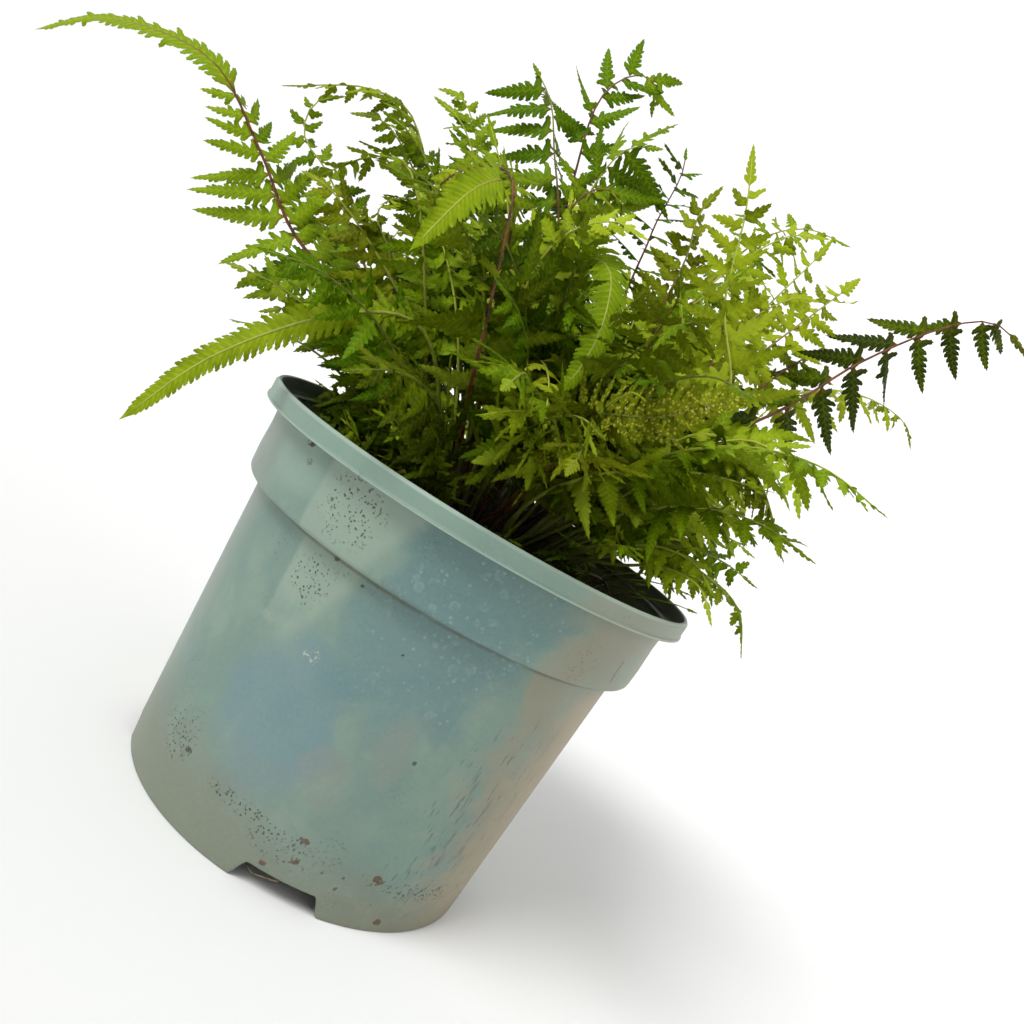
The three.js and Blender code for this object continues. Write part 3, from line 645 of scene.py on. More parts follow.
class Wall:
    """Masks by place on the pot's wall: millimetres round it from its front, and up it."""

    def __init__(self, finish):
        self.side, self.back, self.height = finish.place_in_mm()
        self.around = self.side.sum("ARCTAN2", self.side, self.back * -1) * WRAP_RADIUS
        self.haze = finish.noise(38, 2, 0.5, bend=0.6)
        self.cloud = finish.noise(22, 3, 0.55, bend=0.8)
        self.grit = finish.noise(2.2, 2, 0.6)
        self.fine = finish.noise(1.1, 2, 0.6)
        # grey is where painted shade makes the right side greyer.
        self.grey = (self.side + self.drift(54) + (self.height - 60) * 0.1).rise(35, 57)

    def drift(self, reach):
        """How far an uneven edge wanders, in millimetres."""
        return (self.cloud - 0.5) * reach

    def patch(self, at, up, wide, tall, ragged=0.5, by=None):
        """1 near a place on the wall and 0 away from it, with an uneven edge."""
        across = (self.around - at) / wide
        along = (self.height - up) / tall
        uneven = ((by or self.cloud) - 0.5) * ragged * 4
        return (across * across + along * along + uneven).rise(1.3, 0.35)

    def patches(self, *places):
        return strongest(self.patch(*place) for place in places)

    def marks(self, *places):
        """Small stains with ragged edges, each with its place and its size."""
        return strongest(self.patch(at, up, size, size * 0.8, 1.6, self.grit) for at, up, size in places)


print("the pot is", round(math.pi * WRAP_RADIUS), "mm round from its front to its back")


# %% Colours of the wall
def colour_plastic(finish, wall):
    """Pale green with bluish clouds and dusty spots, painted shade that greys the right side, painted light
    that makes the right edge warmer and a painted sheen on the left edge.
    """
    finish.colour = finish.mix(wall.haze.rise(0.38, 0.62), paint(128, 154, 140), paint(120, 148, 138))
    finish.coat(wall.cloud.rise(0.42, 0.7) * 0.6, 142, 164, 148)
    finish.coat(wall.patch(-20, 52, 22, 30) * 0.7, 116, 146, 154)
    finish.coat(wall.patch(8, 92, 28, 34) * 0.75, 104, 138, 140)
    finish.coat(wall.patch(14, 122, 30, 14) * 0.8, 102, 136, 134)
    finish.coat(wall.patches((2, 44, 9, 12, 1.1), (16, 66, 8, 14, 1.1)) * 0.4, 146, 148, 138)
    # Painted shade: the right side turns greyer.
    finish.coat(wall.grey * (wall.haze.rise(0.3, 0.5) * 0.4 + 0.45), 150, 146, 124)
    # Painted light that makes the right edge lighter and warmer.
    painted_warm_light = (wall.side + wall.drift(26)).rise(52, 66) * wall.height.rise(104, 96)
    finish.coat(painted_warm_light * wall.around.rise(128, 88) * 0.6, 178, 158, 128)
    # Painted sheen that makes the left edge pale.
    finish.coat((wall.side + wall.drift(20)).rise(-57, -69) * 0.6, 160, 168, 158)


def fade_plastic_and_paint_light(finish, wall):
    """A dull foot, a dusty haze at the left with painted sheen on it, painted light over the lip's shadow and
    a paler lip with painted highlights on its edges.
    """
    height, sway = wall.height, wall.haze - 0.5
    foot = (height + wall.drift(22) + (wall.side + 30) * 0.12).rise(36, 8)
    finish.coat(foot * 0.8, 130, 127, 104)
    # A dusty haze at the left, and the painted sheen that lies on it.
    slant = wall.around + (POT_HEIGHT - height) * 0.36 + wall.drift(12)
    film_and_sheen = (wall.around + sway * 6).rise(-44, -41.5) * slant.rise(-4, -10)
    film_and_sheen = film_and_sheen * (height + wall.drift(26)).rise(66, 90) * height.rise(129.9, 129.4)
    finish.coat(film_and_sheen * 0.6, 164, 182, 163)
    # Painted light that lifts the lip's shadow on the cuff at the left.
    finish.coat(wall.patch(-56, 121, 16, 10) * 0.5, 152, 176, 158)
    washed = (height + wall.drift(20)).rise(41, 36) * (wall.side + sway * 36).rise(33, 18)
    finish.coat(washed * 0.35, 132, 148, 136)
    lip = height.rise(129.3, 130.2)
    finish.coat(lip * 0.75, 138, 166, 150)
    # The lip is greyer at the right, where painted shade falls.
    finish.coat(lip * wall.grey * 0.7, 152, 154, 134)
    # Painted highlights along the lip's top edge and its lower edge.
    low_edge_highlight = height.rise(129.4, 129.9) * height.rise(130.8, 130.2)
    finish.coat((height.rise(135.2, 136.2) * 0.6).most(low_edge_highlight * 0.55), 184, 202, 186)
    return film_and_sheen


print("the wall's first colour returns", [round(v, 3) for v in paint(128, 154, 140)[:3]], "of the light")

# %% [markdown]
# ## Marks on the wall
#
# Dried drops are scattered cells with a stronger rim, scratches are noise that is stretched upwards,
# and grains of soil stick where water stood. Stains that the photograph shows one by one are listed,
# each with its place round the wall, its height and its size in millimetres.

# %% Marks on the wall
CRACK_PLACE = 70


def dry_drops(finish, wall):
    """Dried water: small full spots, and larger ones that are stronger at their rim."""
    small = finish.spots(2.2).rise(0.32, 0.14) * finish.noise(4.5, 2).rise(0.42, 0.6)
    cell = finish.spots(5.2)
    ring = cell.rise(0.38, 0.28) * (cell.rise(0.14, 0.3) * 0.5 + 0.5) * finish.noise(6, 2).rise(0.45, 0.6)
    drops = small.most(ring * wall.grit.rise(0.2, 0.6) * 0.7)
    drops = drops * wall.patches((12, 100, 26, 34), (16, 123, 26, 10))
    finish.coat(drops * 0.55, 154, 182, 174)
    return drops


def scratches(finish, wall):
    """Fine upright scratches at the right."""
    scratch = finish.noise(1.0, 3, 0.65, stretch=(1, 1, 0.09), bend=0.5).rise(0.58, 0.63)
    worn = scratch * wall.patch(58, 46, 24, 44) * finish.noise(7, 2).rise(0.44, 0.54)
    finish.coat(worn * 0.55, 86, 96, 82)
    return worn


def stains(finish, wall):
    """A chalk mark, rust, and grains of soil that stuck where water dried."""
    chalk = wall.marks((-21, 74, 2.8)) * finish.noise(0.9, 2, 0.6).rise(0.5, 0.58)
    finish.coat(chalk * 0.7, 206, 208, 182)
    rust = strongest([
        wall.marks((7, 22.5, 1.5), (8, 15, 1.2), (-1, 9.6, 1.2), (36, 19.6, 1.4), (38.4, 19.2, 1.5),
                   (47, 4, 1.5), (25, 12, 0.9)),
        wall.marks((-54, 128.4, 1.6)) * 0.8,
        wall.marks((-51, 123.2, 1.8)) * wall.grit.rise(0.45, 0.55) * 0.7,
        finish.spots(5).rise(0.13, 0.07) * wall.patch(30, 18, 40, 9) * 0.8,
    ])
    finish.coat(rust * 0.8, 104, 66, 40)
    soiled = strongest([
        wall.patches((-30, 119, 12, 12), (-34, 93, 9, 8), (-52, 24, 10, 9), (60, 17, 24, 4),
                     (-10, 21, 20, 3)),
        wall.patch(2, 18, 14, 7) * 0.8,
        finish.noise(26, 1).rise(0.6, 0.75) * 0.4,
    ])
    grains = finish.noise(0.7, 2, 0.7).rise(0.44, 0.52) * finish.spots(1.15).rise(0.4, 0.28)
    grains = grains * finish.noise(2.4, 2, 0.6).rise(0.42, 0.5) * soiled
    lumps = wall.marks((-54, 128, 1.3), (-44, 23, 1.5), (-18, 101, 0.8), (-29, 103.6, 0.9), (3, 90, 0.7),
                       (24, 61, 1.0))
    dirt = grains.most(lumps)
    finish.coat(dirt * 0.8, 62, 60, 44)
    return dirt.most(rust)


def edges(finish, wall):
    """A crack in the cuff, painted shade in the two inner corners under the cuff and the lip, and dull grain
    all over.
    """
    height = wall.height
    crack = line(wall.around - CRACK_PLACE + (wall.grit - 0.5) * 3, 0.3, 0.2)
    crack = crack * height.rise(109, 110.5) * height.rise(118.5, 117)
    finish.coat(crack * 0.8, 66, 60, 48)
    # Painted shade under the cuff, then under the lip.
    finish.coat(line(height - CUFF_BOTTOM + 0.6, 1.4) * wall.cloud.rise(0.25, 0.55) * 0.6, 92, 88, 66)
    finish.coat(line(height - LIP_BOTTOM + 0.4, 0.7) * wall.grit.rise(0.2, 0.5) * 0.5, 84, 88, 74)
    finish.coat(wall.fine.rise(0.3, 0.8) * 0.1, 176, 184, 172)
    return crack


def paint_shade_inside(finish, wall):
    """Painted shade on the inside, told from the outside by its distance from the axis."""
    height = wall.height
    away = (wall.side * wall.side + wall.back * wall.back) ** 0.5
    lip = away.rise(LIP_RADIUS - WALL - 0.1, LIP_RADIUS - WALL - 0.5) * height.rise(129, 130.5)
    cuff = away.rise(CUFF_BOTTOM_RADIUS - 0.8, CUFF_BOTTOM_RADIUS - 1.2) * height.rise(104.8, 105.6)
    deep = (away - height * WALL_TAPER).rise(BASE_RADIUS - 0.7, BASE_RADIUS - 1.1)
    deep = deep * height.rise(104.6, 104)
    # Dark olive painted shade inside the lip, the cuff and the lower wall.
    finish.coat(strongest([lip, deep, cuff * height.rise(130.6, 129.8)]) * 0.88, 48, 50, 26)


print("the crack is", round(math.degrees(CRACK_PLACE / WRAP_RADIUS)), "degrees to the right of the front")


# %% Plastic finish
def plastic_finish():
    finish = Finish("weathered plastic", 0.4, **{"Specular IOR Level": 0.35})
    wall = Wall(finish)
    colour_plastic(finish, wall)
    film_and_sheen = fade_plastic_and_paint_light(finish, wall)
    drops = dry_drops(finish, wall)
    worn = scratches(finish, wall)
    marks = stains(finish, wall)
    crack = edges(finish, wall)
    paint_shade_inside(finish, wall)
    roughness = 0.38 + wall.haze * 0.12 + drops * 0.1 + film_and_sheen * 0.12 + marks * 0.4 + wall.fine * 0.06
    relief = finish.bump(wall.fine * 0.25 + wall.cloud * 0.6, 0.12)
    return finish.wear(roughness, finish.bump(marks - crack - worn * 0.6, 0.25, relief))


pot = drill_drains(make_pot_body([plastic_finish()]))
seat(pot, "pot_plastic", "pot")
print("the pot has", len(pot.data.polygons), "faces")

# %% [markdown]
# ## Soil and rootstock
#
# Dark, fibrous compost fills the pot to two centimetres below its lip, and the fern's rootstock, a
# knot of old leaf bases, stands a little proud of it. The soil's top is a height for each point of a
# polar grid, from a sum of waves. Grains, root threads and old leaf bases are sunk into it.

# %% Waves for uneven ground
def waves(x, y, size, seed, count=14):
    """A smooth random height between about -1 and 1, with hills about size across."""
    random = np.random.default_rng(seed)
    turn = random.uniform(0, 2 * np.pi, count)
    pitch = 2 * np.pi / (size * random.uniform(0.6, 1.8, count))
    start = random.uniform(0, 2 * np.pi, count)
    total = 0
    for a, k, s in zip(turn, pitch, start):
        total = total + np.sin((x * math.cos(a) + y * math.sin(a)) * k + s)
    return total / math.sqrt(count / 2) / 1.6


def lump(random, centre, size, squash=0.7):
    """A small uneven grain."""
    turns, rings = 6, 3
    points = [(0, 0, -1)]
    for i in range(1, rings + 1):
        tilt = math.pi * i / (rings + 1)
        for j in range(turns):
            turn = 2 * math.pi * (j + 0.5 * (i % 2)) / turns
            points.append((math.sin(tilt) * math.cos(turn), math.sin(tilt) * math.sin(turn), -math.cos(tilt)))
    points.append((0, 0, 1))
    points = np.array(points) * random.uniform(0.7, 1.25, (len(points), 1)) * size * (1, 1, squash)
    rows = np.arange(1, 1 + rings * turns).reshape(rings, turns)
    spin = random.uniform(0, 2 * math.pi)
    turned = np.array([[math.cos(spin), -math.sin(spin), 0], [math.sin(spin), math.cos(spin), 0], [0, 0, 1]])
    return points @ turned.T + centre, *ring_faces(rows[::-1], len(points) - 1, 0)


def thread(random, start, heading, length, radius, wander=0.5, steps=9):
    """A thin root that wanders over the ground."""
    turn = heading
    path = [np.array(start, float)]
    for _ in range(steps):
        turn += random.normal(0, wander)
        way = np.array([math.cos(turn), math.sin(turn), random.normal(0, 0.25)])
        path.append(path[-1] + way * length / steps)
    return tube(path, radius * np.linspace(1, 0.4, len(path)), 5)


def spot_at(turn, away, height=0.0):
    """The place at an angle and a distance from the axis."""
    return np.array([away * math.cos(turn), away * math.sin(turn), height])


print("a wave is at", round(float(waves(0, 0, 30, 1)), 2), "in the middle of the soil")


# %% Earth finishes
def earth_finish():
    finish = Finish("dark compost", 0.95)
    coarse = finish.noise(5, 4, 0.65)
    fine = finish.noise(0.9, 3, 0.7)
    finish.colour = finish.mix(coarse.rise(0.35, 0.7), paint(26, 17, 11), paint(58, 41, 27))
    finish.coat(fine.rise(0.6, 0.75) * 0.6, 96, 72, 48)
    return finish.wear(0.98 - fine * 0.1, finish.bump(fine + coarse, 0.8))


def fibre_finish(name, dark, light):
    finish = Finish(name, 0.8)
    length = finish.noise(2.5, 3, 0.6)
    grain = finish.noise(0.6, 2, 0.6)
    finish.colour = finish.mix(length.rise(0.35, 0.65), paint(*dark), paint(*light))
    return finish.wear(0.75 + grain * 0.2, finish.bump(grain, 0.15))


earth = earth_finish()
pale_root = fibre_finish("pale root", (150, 132, 104), (205, 192, 166))
brown_fibre = fibre_finish("brown fibre", (44, 29, 18), (112, 80, 50))
print("earth finishes:", [m.name for m in (earth, pale_root, brown_fibre)])

# %% Soil
SOIL_LEVEL = 116
SOIL_GAP = 0.5
SOIL_EDGE = CUFF_BOTTOM_RADIUS - WALL - SOIL_GAP
CROWN_RADIUS = 31
CROWN_TOP = 123
GRAIN_COUNT = 420
THREAD_COUNT = 46
PALE_ROOT, BROWN_ROOT = 1, 2


def soil_height(x, y):
    away = np.hypot(x, y)
    hills = 1.3 * waves(x, y, 30, 1) + 0.9 * waves(x, y, 9, 2) + 0.5 * waves(x, y, 3.2, 3)
    return SOIL_LEVEL + hills - 2.0 * smooth(away, 66, 77) + 1.5 * smooth(away, 50, 30)


def make_soil():
    pile = Pile()
    turns = np.linspace(0, 2 * np.pi, 150, endpoint=False)
    away = np.linspace(1.4, SOIL_EDGE, 54)[:, None]
    x, y = away * np.cos(turns), away * np.sin(turns)
    top = np.stack([x, y, soil_height(x, y)], -1)
    beside_wall = [(wall_radius(min(z, CUFF_BOTTOM)) - WALL - SOIL_GAP, z) for z in (108, 60, 13)]
    side = [(SOIL_EDGE, 111), *beside_wall, (wall_radius(FLOOR_TOP) - WALL - 2.5, FLOOR_TOP + 0.2),
            (WELL_RADIUS + 1.7, FLOOR_TOP + 0.2), (WELL_RADIUS - 0.3, FLOOR_THICKNESS + 0.2)]
    low = [np.stack([r * np.cos(turns), r * np.sin(turns), np.full(len(turns), z)], -1) for r, z in side]
    ends = (0, 0, soil_height(0, 0)), (0, 0, FLOOR_THICKNESS + 0.2)
    pile.add(*closed_rings(np.concatenate([top, low]), *ends))
    random = np.random.default_rng(11)
    for _ in range(GRAIN_COUNT):
        spot = spot_at(random.uniform(0, 2 * np.pi), math.sqrt(random.uniform(0.12, 0.97)) * SOIL_EDGE)
        size = random.uniform(0.5, 1.9)
        spot[2] = soil_height(spot[0], spot[1]) + size * 0.1
        pile.add(*lump(random, spot, size))
    for i in range(THREAD_COUNT):
        start = spot_at(random.uniform(0, 2 * np.pi), random.uniform(24, 70))
        start[2] = soil_height(start[0], start[1]) + 0.4
        points, threes, fours = thread(
            random, start, random.uniform(0, 2 * np.pi), random.uniform(10, 26), random.uniform(0.2, 0.45)
        )
        points[:, 2] = np.maximum(points[:, 2], soil_height(points[:, 0], points[:, 1]) - 0.2)
        pile.add(points, threes, fours, PALE_ROOT if i % 3 == 0 else BROWN_ROOT)
    strand = [(0, -49, 12), (0.5, -50, 7), (3, -53, 4.5), (8, -56, 3.6), (6, -60, 2.2), (-2, -62, 1.6),
              (-6, -60, 2.6)]
    pile.add(*tube(strand, np.linspace(0.7, 0.25, len(strand)), 6), PALE_ROOT)
    return seat(pile.make("soil_fill", [earth, pale_root, brown_fibre]), "soil", "soil")


soil = make_soil()
print("the soil has", len(soil.data.polygons), "faces")

# %% Rootstock
STUB_COUNT = 90
SCALE_COUNT = 170
CROWN_EDGE = SOIL_LEVEL - 4
CROWN_BOTTOM = 104


def crown_height(away):
    dome = np.sqrt(np.clip(1 - (away / CROWN_RADIUS) ** 2, 0, 1))
    return CROWN_EDGE + (CROWN_TOP - CROWN_EDGE - 1) * dome


def make_crown():
    pile = Pile()
    turns = np.linspace(0, 2 * np.pi, 72, endpoint=False)
    away = np.concatenate([[1.0], np.linspace(3, CROWN_RADIUS - 0.4, 18)])[:, None]
    x, y = away * np.cos(turns), away * np.sin(turns)
    z = crown_height(away) + 0.8 * waves(x, y, 9, 5) + 0.5 * waves(x, y, 3, 6)
    top = np.stack([x, y, z], -1)
    low = np.stack([x[-1], y[-1], np.full(len(turns), CROWN_BOTTOM)], -1)
    pile.add(*closed_rings(np.concatenate([top, low[None]]), (0, 0, CROWN_TOP - 1), (0, 0, CROWN_BOTTOM)))
    random = np.random.default_rng(21)
    for _ in range(STUB_COUNT):
        turn, away = random.uniform(0, 2 * np.pi), CROWN_RADIUS * math.sqrt(random.uniform(0.02, 0.95))
        root = spot_at(turn, away, crown_height(away) - 1.5)
        lean = unit([math.cos(turn) * (0.3 + away / 40), math.sin(turn) * (0.3 + away / 40), 1.0])
        long = random.uniform(4, 9)
        bend = np.array([0, 0, 0.25]) * long
        path = [root + lean * long * s + bend * s * s for s in (0, 0.3, 0.6, 0.85, 1)]
        pile.add(*tube(path, np.array([1.7, 1.5, 1.15, 0.8, 0.3]) * random.uniform(0.7, 1.1), 6), 1)
    for _ in range(SCALE_COUNT):
        turn, away = random.uniform(0, 2 * np.pi), CROWN_RADIUS * math.sqrt(random.uniform(0.02, 1))
        root = spot_at(turn, away, crown_height(away))
        lean = unit(random.normal(0, 1, 3) + (0, 0, 0.9))
        path = [root, root + lean * 3, root + lean * 5.5 + random.normal(0, 1.2, 3)]
        pile.add(*tube(path, np.array([0.5, 0.4, 0.08]), 4, flat=0.3), 1)
    return seat(pile.make("rootstock", [earth, brown_fibre]), "rootstock", "crown")


crown = make_crown()
print("the rootstock has", len(crown.data.polygons), "faces")

# %% [markdown]
# ## How a frond is laid out
#
# A frond is a stalk that carries on as the midrib, with leaflets on both sides. The midrib is a
# smooth curve through a few points. At each place on it a small frame says which way is along it,
# across it and up from its face, and everything on the frond is placed in that frame.

# %% Midrib
class Midrib:
    """A frond's midrib: a smooth curve through its points, by share of its length.

    The leaf's face is turned about the midrib by roll, or else as near as it gets to facing."""

    def __init__(self, path, roll=(0, 0), facing=None):
        path = np.asarray(path, float)
        self.roll = np.radians(roll)
        self.facing = facing
        self.knots = np.concatenate([[2 * path[0] - path[1]], path, [2 * path[-1] - path[-2]]])
        self.pieces = len(path) - 1
        fine = np.linspace(0, self.pieces, 401)
        steps = np.linalg.norm(np.diff(self.curve(fine), axis=0), axis=1)
        self.measured = np.concatenate([[0], np.cumsum(steps)])
        self.fine = fine
        self.length = self.measured[-1]
        reach = unit((path[-1] - path[0]) * (1, 1, 0))
        self.level = np.array([-reach[1], reach[0], 0])

    def curve(self, t):
        part = np.clip(t.astype(int), 0, self.pieces - 1)
        u = (t - part)[:, None]
        before, here, there, after = (self.knots[part + i] for i in range(4))
        leave, arrive = (there - before) / 2, (after - here) / 2
        rise = 3 * (there - here) - 2 * leave - arrive
        settle = 2 * (here - there) + leave + arrive
        return here + leave * u + rise * u ** 2 + settle * u ** 3

    def point(self, shares):
        shares = np.clip(shares, 0, 1)
        return self.curve(np.interp(shares * self.length, self.measured, self.fine))

    def at(self, shares):
        """Point, along, across and up at each share of the length."""
        shares = np.atleast_1d(np.asarray(shares, float))
        along = unit(self.point(shares + 0.02) - self.point(shares - 0.02))
        flat = unit(self.level - along * (along @ self.level)[:, None])
        lift = np.cross(along, flat)
        angle = self.roll[0] + (self.roll[1] - self.roll[0]) * np.clip(shares, 0, 1)
        if self.facing is not None:
            angle = np.arctan2(-flat @ self.facing, lift @ self.facing)
        angle = angle[:, None]
        across = flat * np.cos(angle) + lift * np.sin(angle)
        up = lift * np.cos(angle) - flat * np.sin(angle)
        return self.point(shares), along, across, up


def arch_path(turn, root, length, rise, fall):
    """The points of a midrib that leans over more and more from its root to its tip."""
    steps = 6
    away, height = root, SOIL_LEVEL - (4 if root > CROWN_RADIUS else 0)
    path = []
    for i in range(steps + 1):
        path.append((away * math.cos(math.radians(turn)), away * math.sin(math.radians(turn)), height))
        slope = math.radians(rise + (fall - rise) * ((i + 0.5) / steps) ** 1.4)
        away += length / steps * math.cos(slope)
        height += length / steps * math.sin(slope)
    return path


print("an arching midrib ends at", [round(v) for v in arch_path(0, 20, 120, 70, -30)[-1]])

# %% [markdown]
# ## The fronds of this plant
#
# The fronds that make the plant's outline follow the photograph, point by point. The mass between
# them and the small fronds round the rootstock are given by their direction, root, length and slope.
# `wide` is the longest leaflet, `bare` the share of the length that is bare stalk, `roll` the turn
# of the leaf about its midrib at root and tip, `droop` how far the leaflets hang, `reach` how their
# length changes along the leafy stretch, `apex` the share of it that is one lobed blade and that
# blade's half width, `fresh` how yellow-green the frond is and `red` how purple-brown its midrib.
#
# `facing` turns the leaf's face towards a direction instead of by `roll`, `hang` pulls the leaflets
# down, `level` turns their faces up, `chaos` scatters them and `more` is how many pairs there are
# for each pair of the plain model. `lush` makes a frond a deeper green, or browner below 0, `spores`
# puts spore dots on its lower face, and `uncut` and `taper` say how deep its last blade is cut and how
# fast that narrows. `companions` is how many smaller fronds grow beside it. Where a row says
# nothing, its kind decides.

# %% Frond list
FRONDS = [
    dict(path=[(-16, -2, 116), (-43, -4, 152), (-78, -6, 171), (-106, -7, 181), (-129, -9, 199),
               (-157, -12, 216), (-190, -17, 210), (-208, -22, 193)],
         wide=32, pairs=12, bare=0.3, roll=(-75, -40), droop=5, fresh=0.85, red=0.85, more=1,
         apex=(0.42, 6.4), companions=0,
         reach=[(0, 0.85), (0.15, 1), (0.36, 0.92), (0.46, 0.55), (0.56, 0.36), (0.8, 0.24)]),
    dict(path=[(-13, -9, 116), (-31, -22, 158), (-49, -34, 176), (-71, -47, 164), (-92, -62, 136),
               (-103, -74, 107)],
         wide=12, pairs=5, bare=0.36, facing=(0.1, -1, 0.5), fresh=0.5, red=0.1, lush=0.3,
         companions=1, apex=(0.78, 7.6), uncut=0.26),
    dict(path=[(-10, 5, 116), (-53, 8, 187), (-89, 12, 235), (-113, 16, 241), (-145, 20, 225)],
         wide=20, pairs=8, bare=0.42, droop=25, fresh=0.5, red=0.6),
    dict(path=[(-13, 2, 116), (-61, 10, 166), (-109, 20, 204), (-128, 22, 214), (-132, 25, 227),
               (-124, 28, 236)],
         wide=17, pairs=7, bare=0.5, roll=(-60, -60), droop=10, fresh=0.5, red=0.7),
    dict(path=[(-6, -6, 116), (-17, -8, 157), (-30, -18, 193), (-38, -34, 218), (-42, -55, 226),
               (-47, -80, 215), (-50, -100, 190)],
         wide=15, pairs=4, bare=0.5, facing=(0.3, -0.8, 0.6), fresh=0.55, red=0.75, lush=0.5,
         companions=1, apex=(0.84, 13), uncut=0.08, taper=0.8),
    dict(path=[(-4, 3, 116), (-13, 4, 179), (-26, 6, 227), (-44, 8, 255), (-54, 10, 269),
               (-67, 12, 278)],
         wide=28, pairs=8, bare=0.45, roll=(-75, -60), hang=0.6, chaos=1.8, fresh=0.25, red=0.8,
         lush=0.9, more=1.2, apex=(0.06, 1.5), reach=[(0, 0.7), (0.5, 0.95), (0.85, 0.85), (1, 0.5)]),
    dict(path=[(-2, 6, 116), (-11, 10, 169), (-30, 15, 240), (-40, 20, 277), (-37, 25, 294),
               (-28, 28, 300), (-21, 32, 289)],
         wide=21, pairs=6, bare=0.5, facing=(0.1, -1, 0.2), droop=5, hang=-0.2, fresh=0.4, red=0.9, lush=0.9,
         more=1.3, apex=(0.06, 1.5), reach=[(0, 0.8), (0.5, 1), (0.9, 0.8), (1, 0.5)]),
    dict(path=[(3, 8, 116), (9, 16, 181), (3, 25, 242), (1, 28, 256), (0, 30, 276),
               (-4, 32, 287)],
         wide=24, pairs=6, bare=0.5, roll=(5, 5), droop=0, fresh=0.05, red=1.2, level=0.9, more=1.8,
         apex=(0.06, 1.2), reach=[(0, 0.75), (0.5, 0.8), (1, 0.4)]),
    dict(path=[(9, -5, 116), (46, -20, 174), (52, -26, 207), (34, -26, 234), (25, -22, 262),
               (15, -15, 286)],
         wide=24, pairs=8, bare=0.35, roll=(-40, -40), droop=5, fresh=0.78, red=0.35),
    dict(path=[(6, 10, 116), (24, 40, 204), (38, 70, 272), (57, 90, 300), (83, 105, 309)],
         wide=27, pairs=8, bare=0.45, roll=(25, 40), droop=25, fresh=0.9, red=0.8, chaos=2.5,
         apex=(0.1, 2)),
    dict(path=[(15, 2, 116), (50, 3, 181), (76, 5, 220), (91, 10, 248), (111, 14, 275),
               (128, 16, 287), (148, 15, 281)],
         wide=27, pairs=9, bare=0.36, facing=(0.2, -1, 0.1), hang=1.1, fresh=-0.1, red=1.2, lush=-0.1, more=1,
         apex=(0.1, 2), reach=[(0, 0.8), (0.3, 1), (0.75, 0.8), (1, 0.35)], companions=1),
    dict(path=[(12, 8, 116), (50, 25, 193), (85, 45, 232), (110, 60, 247), (136, 74, 250),
               (149, 82, 242)],
         wide=24, pairs=8, bare=0.42, roll=(20, 20), droop=25, fresh=0.8, red=0.5, chaos=2),
    dict(path=[(12, -8, 116), (35, -22, 168), (50, -32, 194), (70, -46, 190), (88, -60, 171)],
         wide=26, pairs=8, bare=0.4, roll=(-20, -20), droop=15, fresh=0.6, red=0.4),
    dict(path=[(20, -7, 116), (42, -20, 143), (61, -23, 153), (81, -23, 154), (95, -22, 149),
               (105, -20, 135)],
         wide=18, pairs=7, bare=0.35, roll=(-10, -10), droop=10, fresh=0.65, red=0.3),
]
OUTLINE_COUNT = len(FRONDS)
# Direction in degrees, distance of the root from the axis, length, slope at the root and at the
# tip, longest leaflet and pairs of leaflets, as in the plain model.
FILLING = [
    (-95, 20, 132, 70, -30, 24, 6), (-122, 18, 154, 78, -10, 26, 7), (-70, 18, 154, 76, -15, 26, 7),
    (-48, 21, 159, 72, -20, 26, 7), (-142, 22, 122, 64, -20, 22, 6), (-105, 11, 132, 86, 30, 24, 6),
    (-41, 26, 122, 66, -15, 23, 6), (164, 22, 154, 60, -10, 25, 7), (200, 25, 111, 54, -15, 22, 6),
    (-8, 25, 93, 62, -15, 21, 6), (14, 25, 104, 66, -15, 22, 6), (30, 22, 136, 72, -15, 24, 6),
    (50, 22, 196, 60, -35, 28, 7), (73, 22, 191, 56, -30, 28, 7), (96, 22, 212, 62, -35, 29, 7),
    (119, 22, 191, 57, -30, 28, 7), (141, 22, 196, 63, -30, 28, 7), (100, 13, 180, 80, 20, 26, 7),
    (20, 4, 148, 86, 60, 22, 6), (178, 7, 154, 83, 40, 22, 6), (-58, 10, 117, 82, 20, 21, 6),
    (-82, 3, 127, 86, 25, 21, 6),
]
YOUNG = [
    (184, 38, 38, 44, 0, 12, 5), (206, 40, 38, 42, 5, 13, 5), (-130, 46, 44, 62, 10, 14, 5),
    (166, 37, 54, 52, 0, 15, 5), (194, 30, 66, 64, 5, 18, 6), (219, 31, 62, 68, 10, 18, 6),
    (-112, 33, 58, 72, 15, 17, 5), (-55, 35, 66, 62, 10, 18, 6), (-28, 36, 62, 58, 5, 18, 6),
    (-6, 40, 56, 50, 5, 16, 5), (17, 38, 60, 54, 5, 17, 5), (41, 38, 62, 54, 5, 17, 5),
    (63, 41, 56, 48, 0, 16, 5), (86, 38, 62, 54, 0, 17, 5), (109, 40, 56, 52, 0, 16, 5),
    (131, 38, 60, 52, 0, 17, 5), (150, 40, 52, 50, 5, 15, 5), (-80, 44, 40, 60, 10, 13, 5),
]
# Between these directions, in front and to the left, the fronds get darker greens as painted shade.
SHADED = (-150, -60)
# The plain model's leaflets fill their outline, and toothed ones have to be longer to look as large.
LONGER_LEAFLETS = 1.12
for kind, rows, bare, droop in (("filling", FILLING, 0.34, 12), ("young", YOUNG, 0.36, 8)):
    for turn, root, length, rise, fall, wide, pairs in rows:
        mixed = np.random.default_rng(len(FRONDS))
        range_of_fresh = (0, 0.45) if SHADED[0] < turn < SHADED[1] else (0.3, 1)
        FRONDS.append(dict(
            path=arch_path(turn, root, length, rise, fall), wide=wide * LONGER_LEAFLETS, pairs=pairs,
            bare=bare, droop=droop, facing=(mixed.normal(0, 0.4), mixed.normal(-0.7, 0.4), 1),
            fresh=mixed.uniform(*range_of_fresh), red=mixed.uniform(0.1, 0.7), kind=kind,
        ))
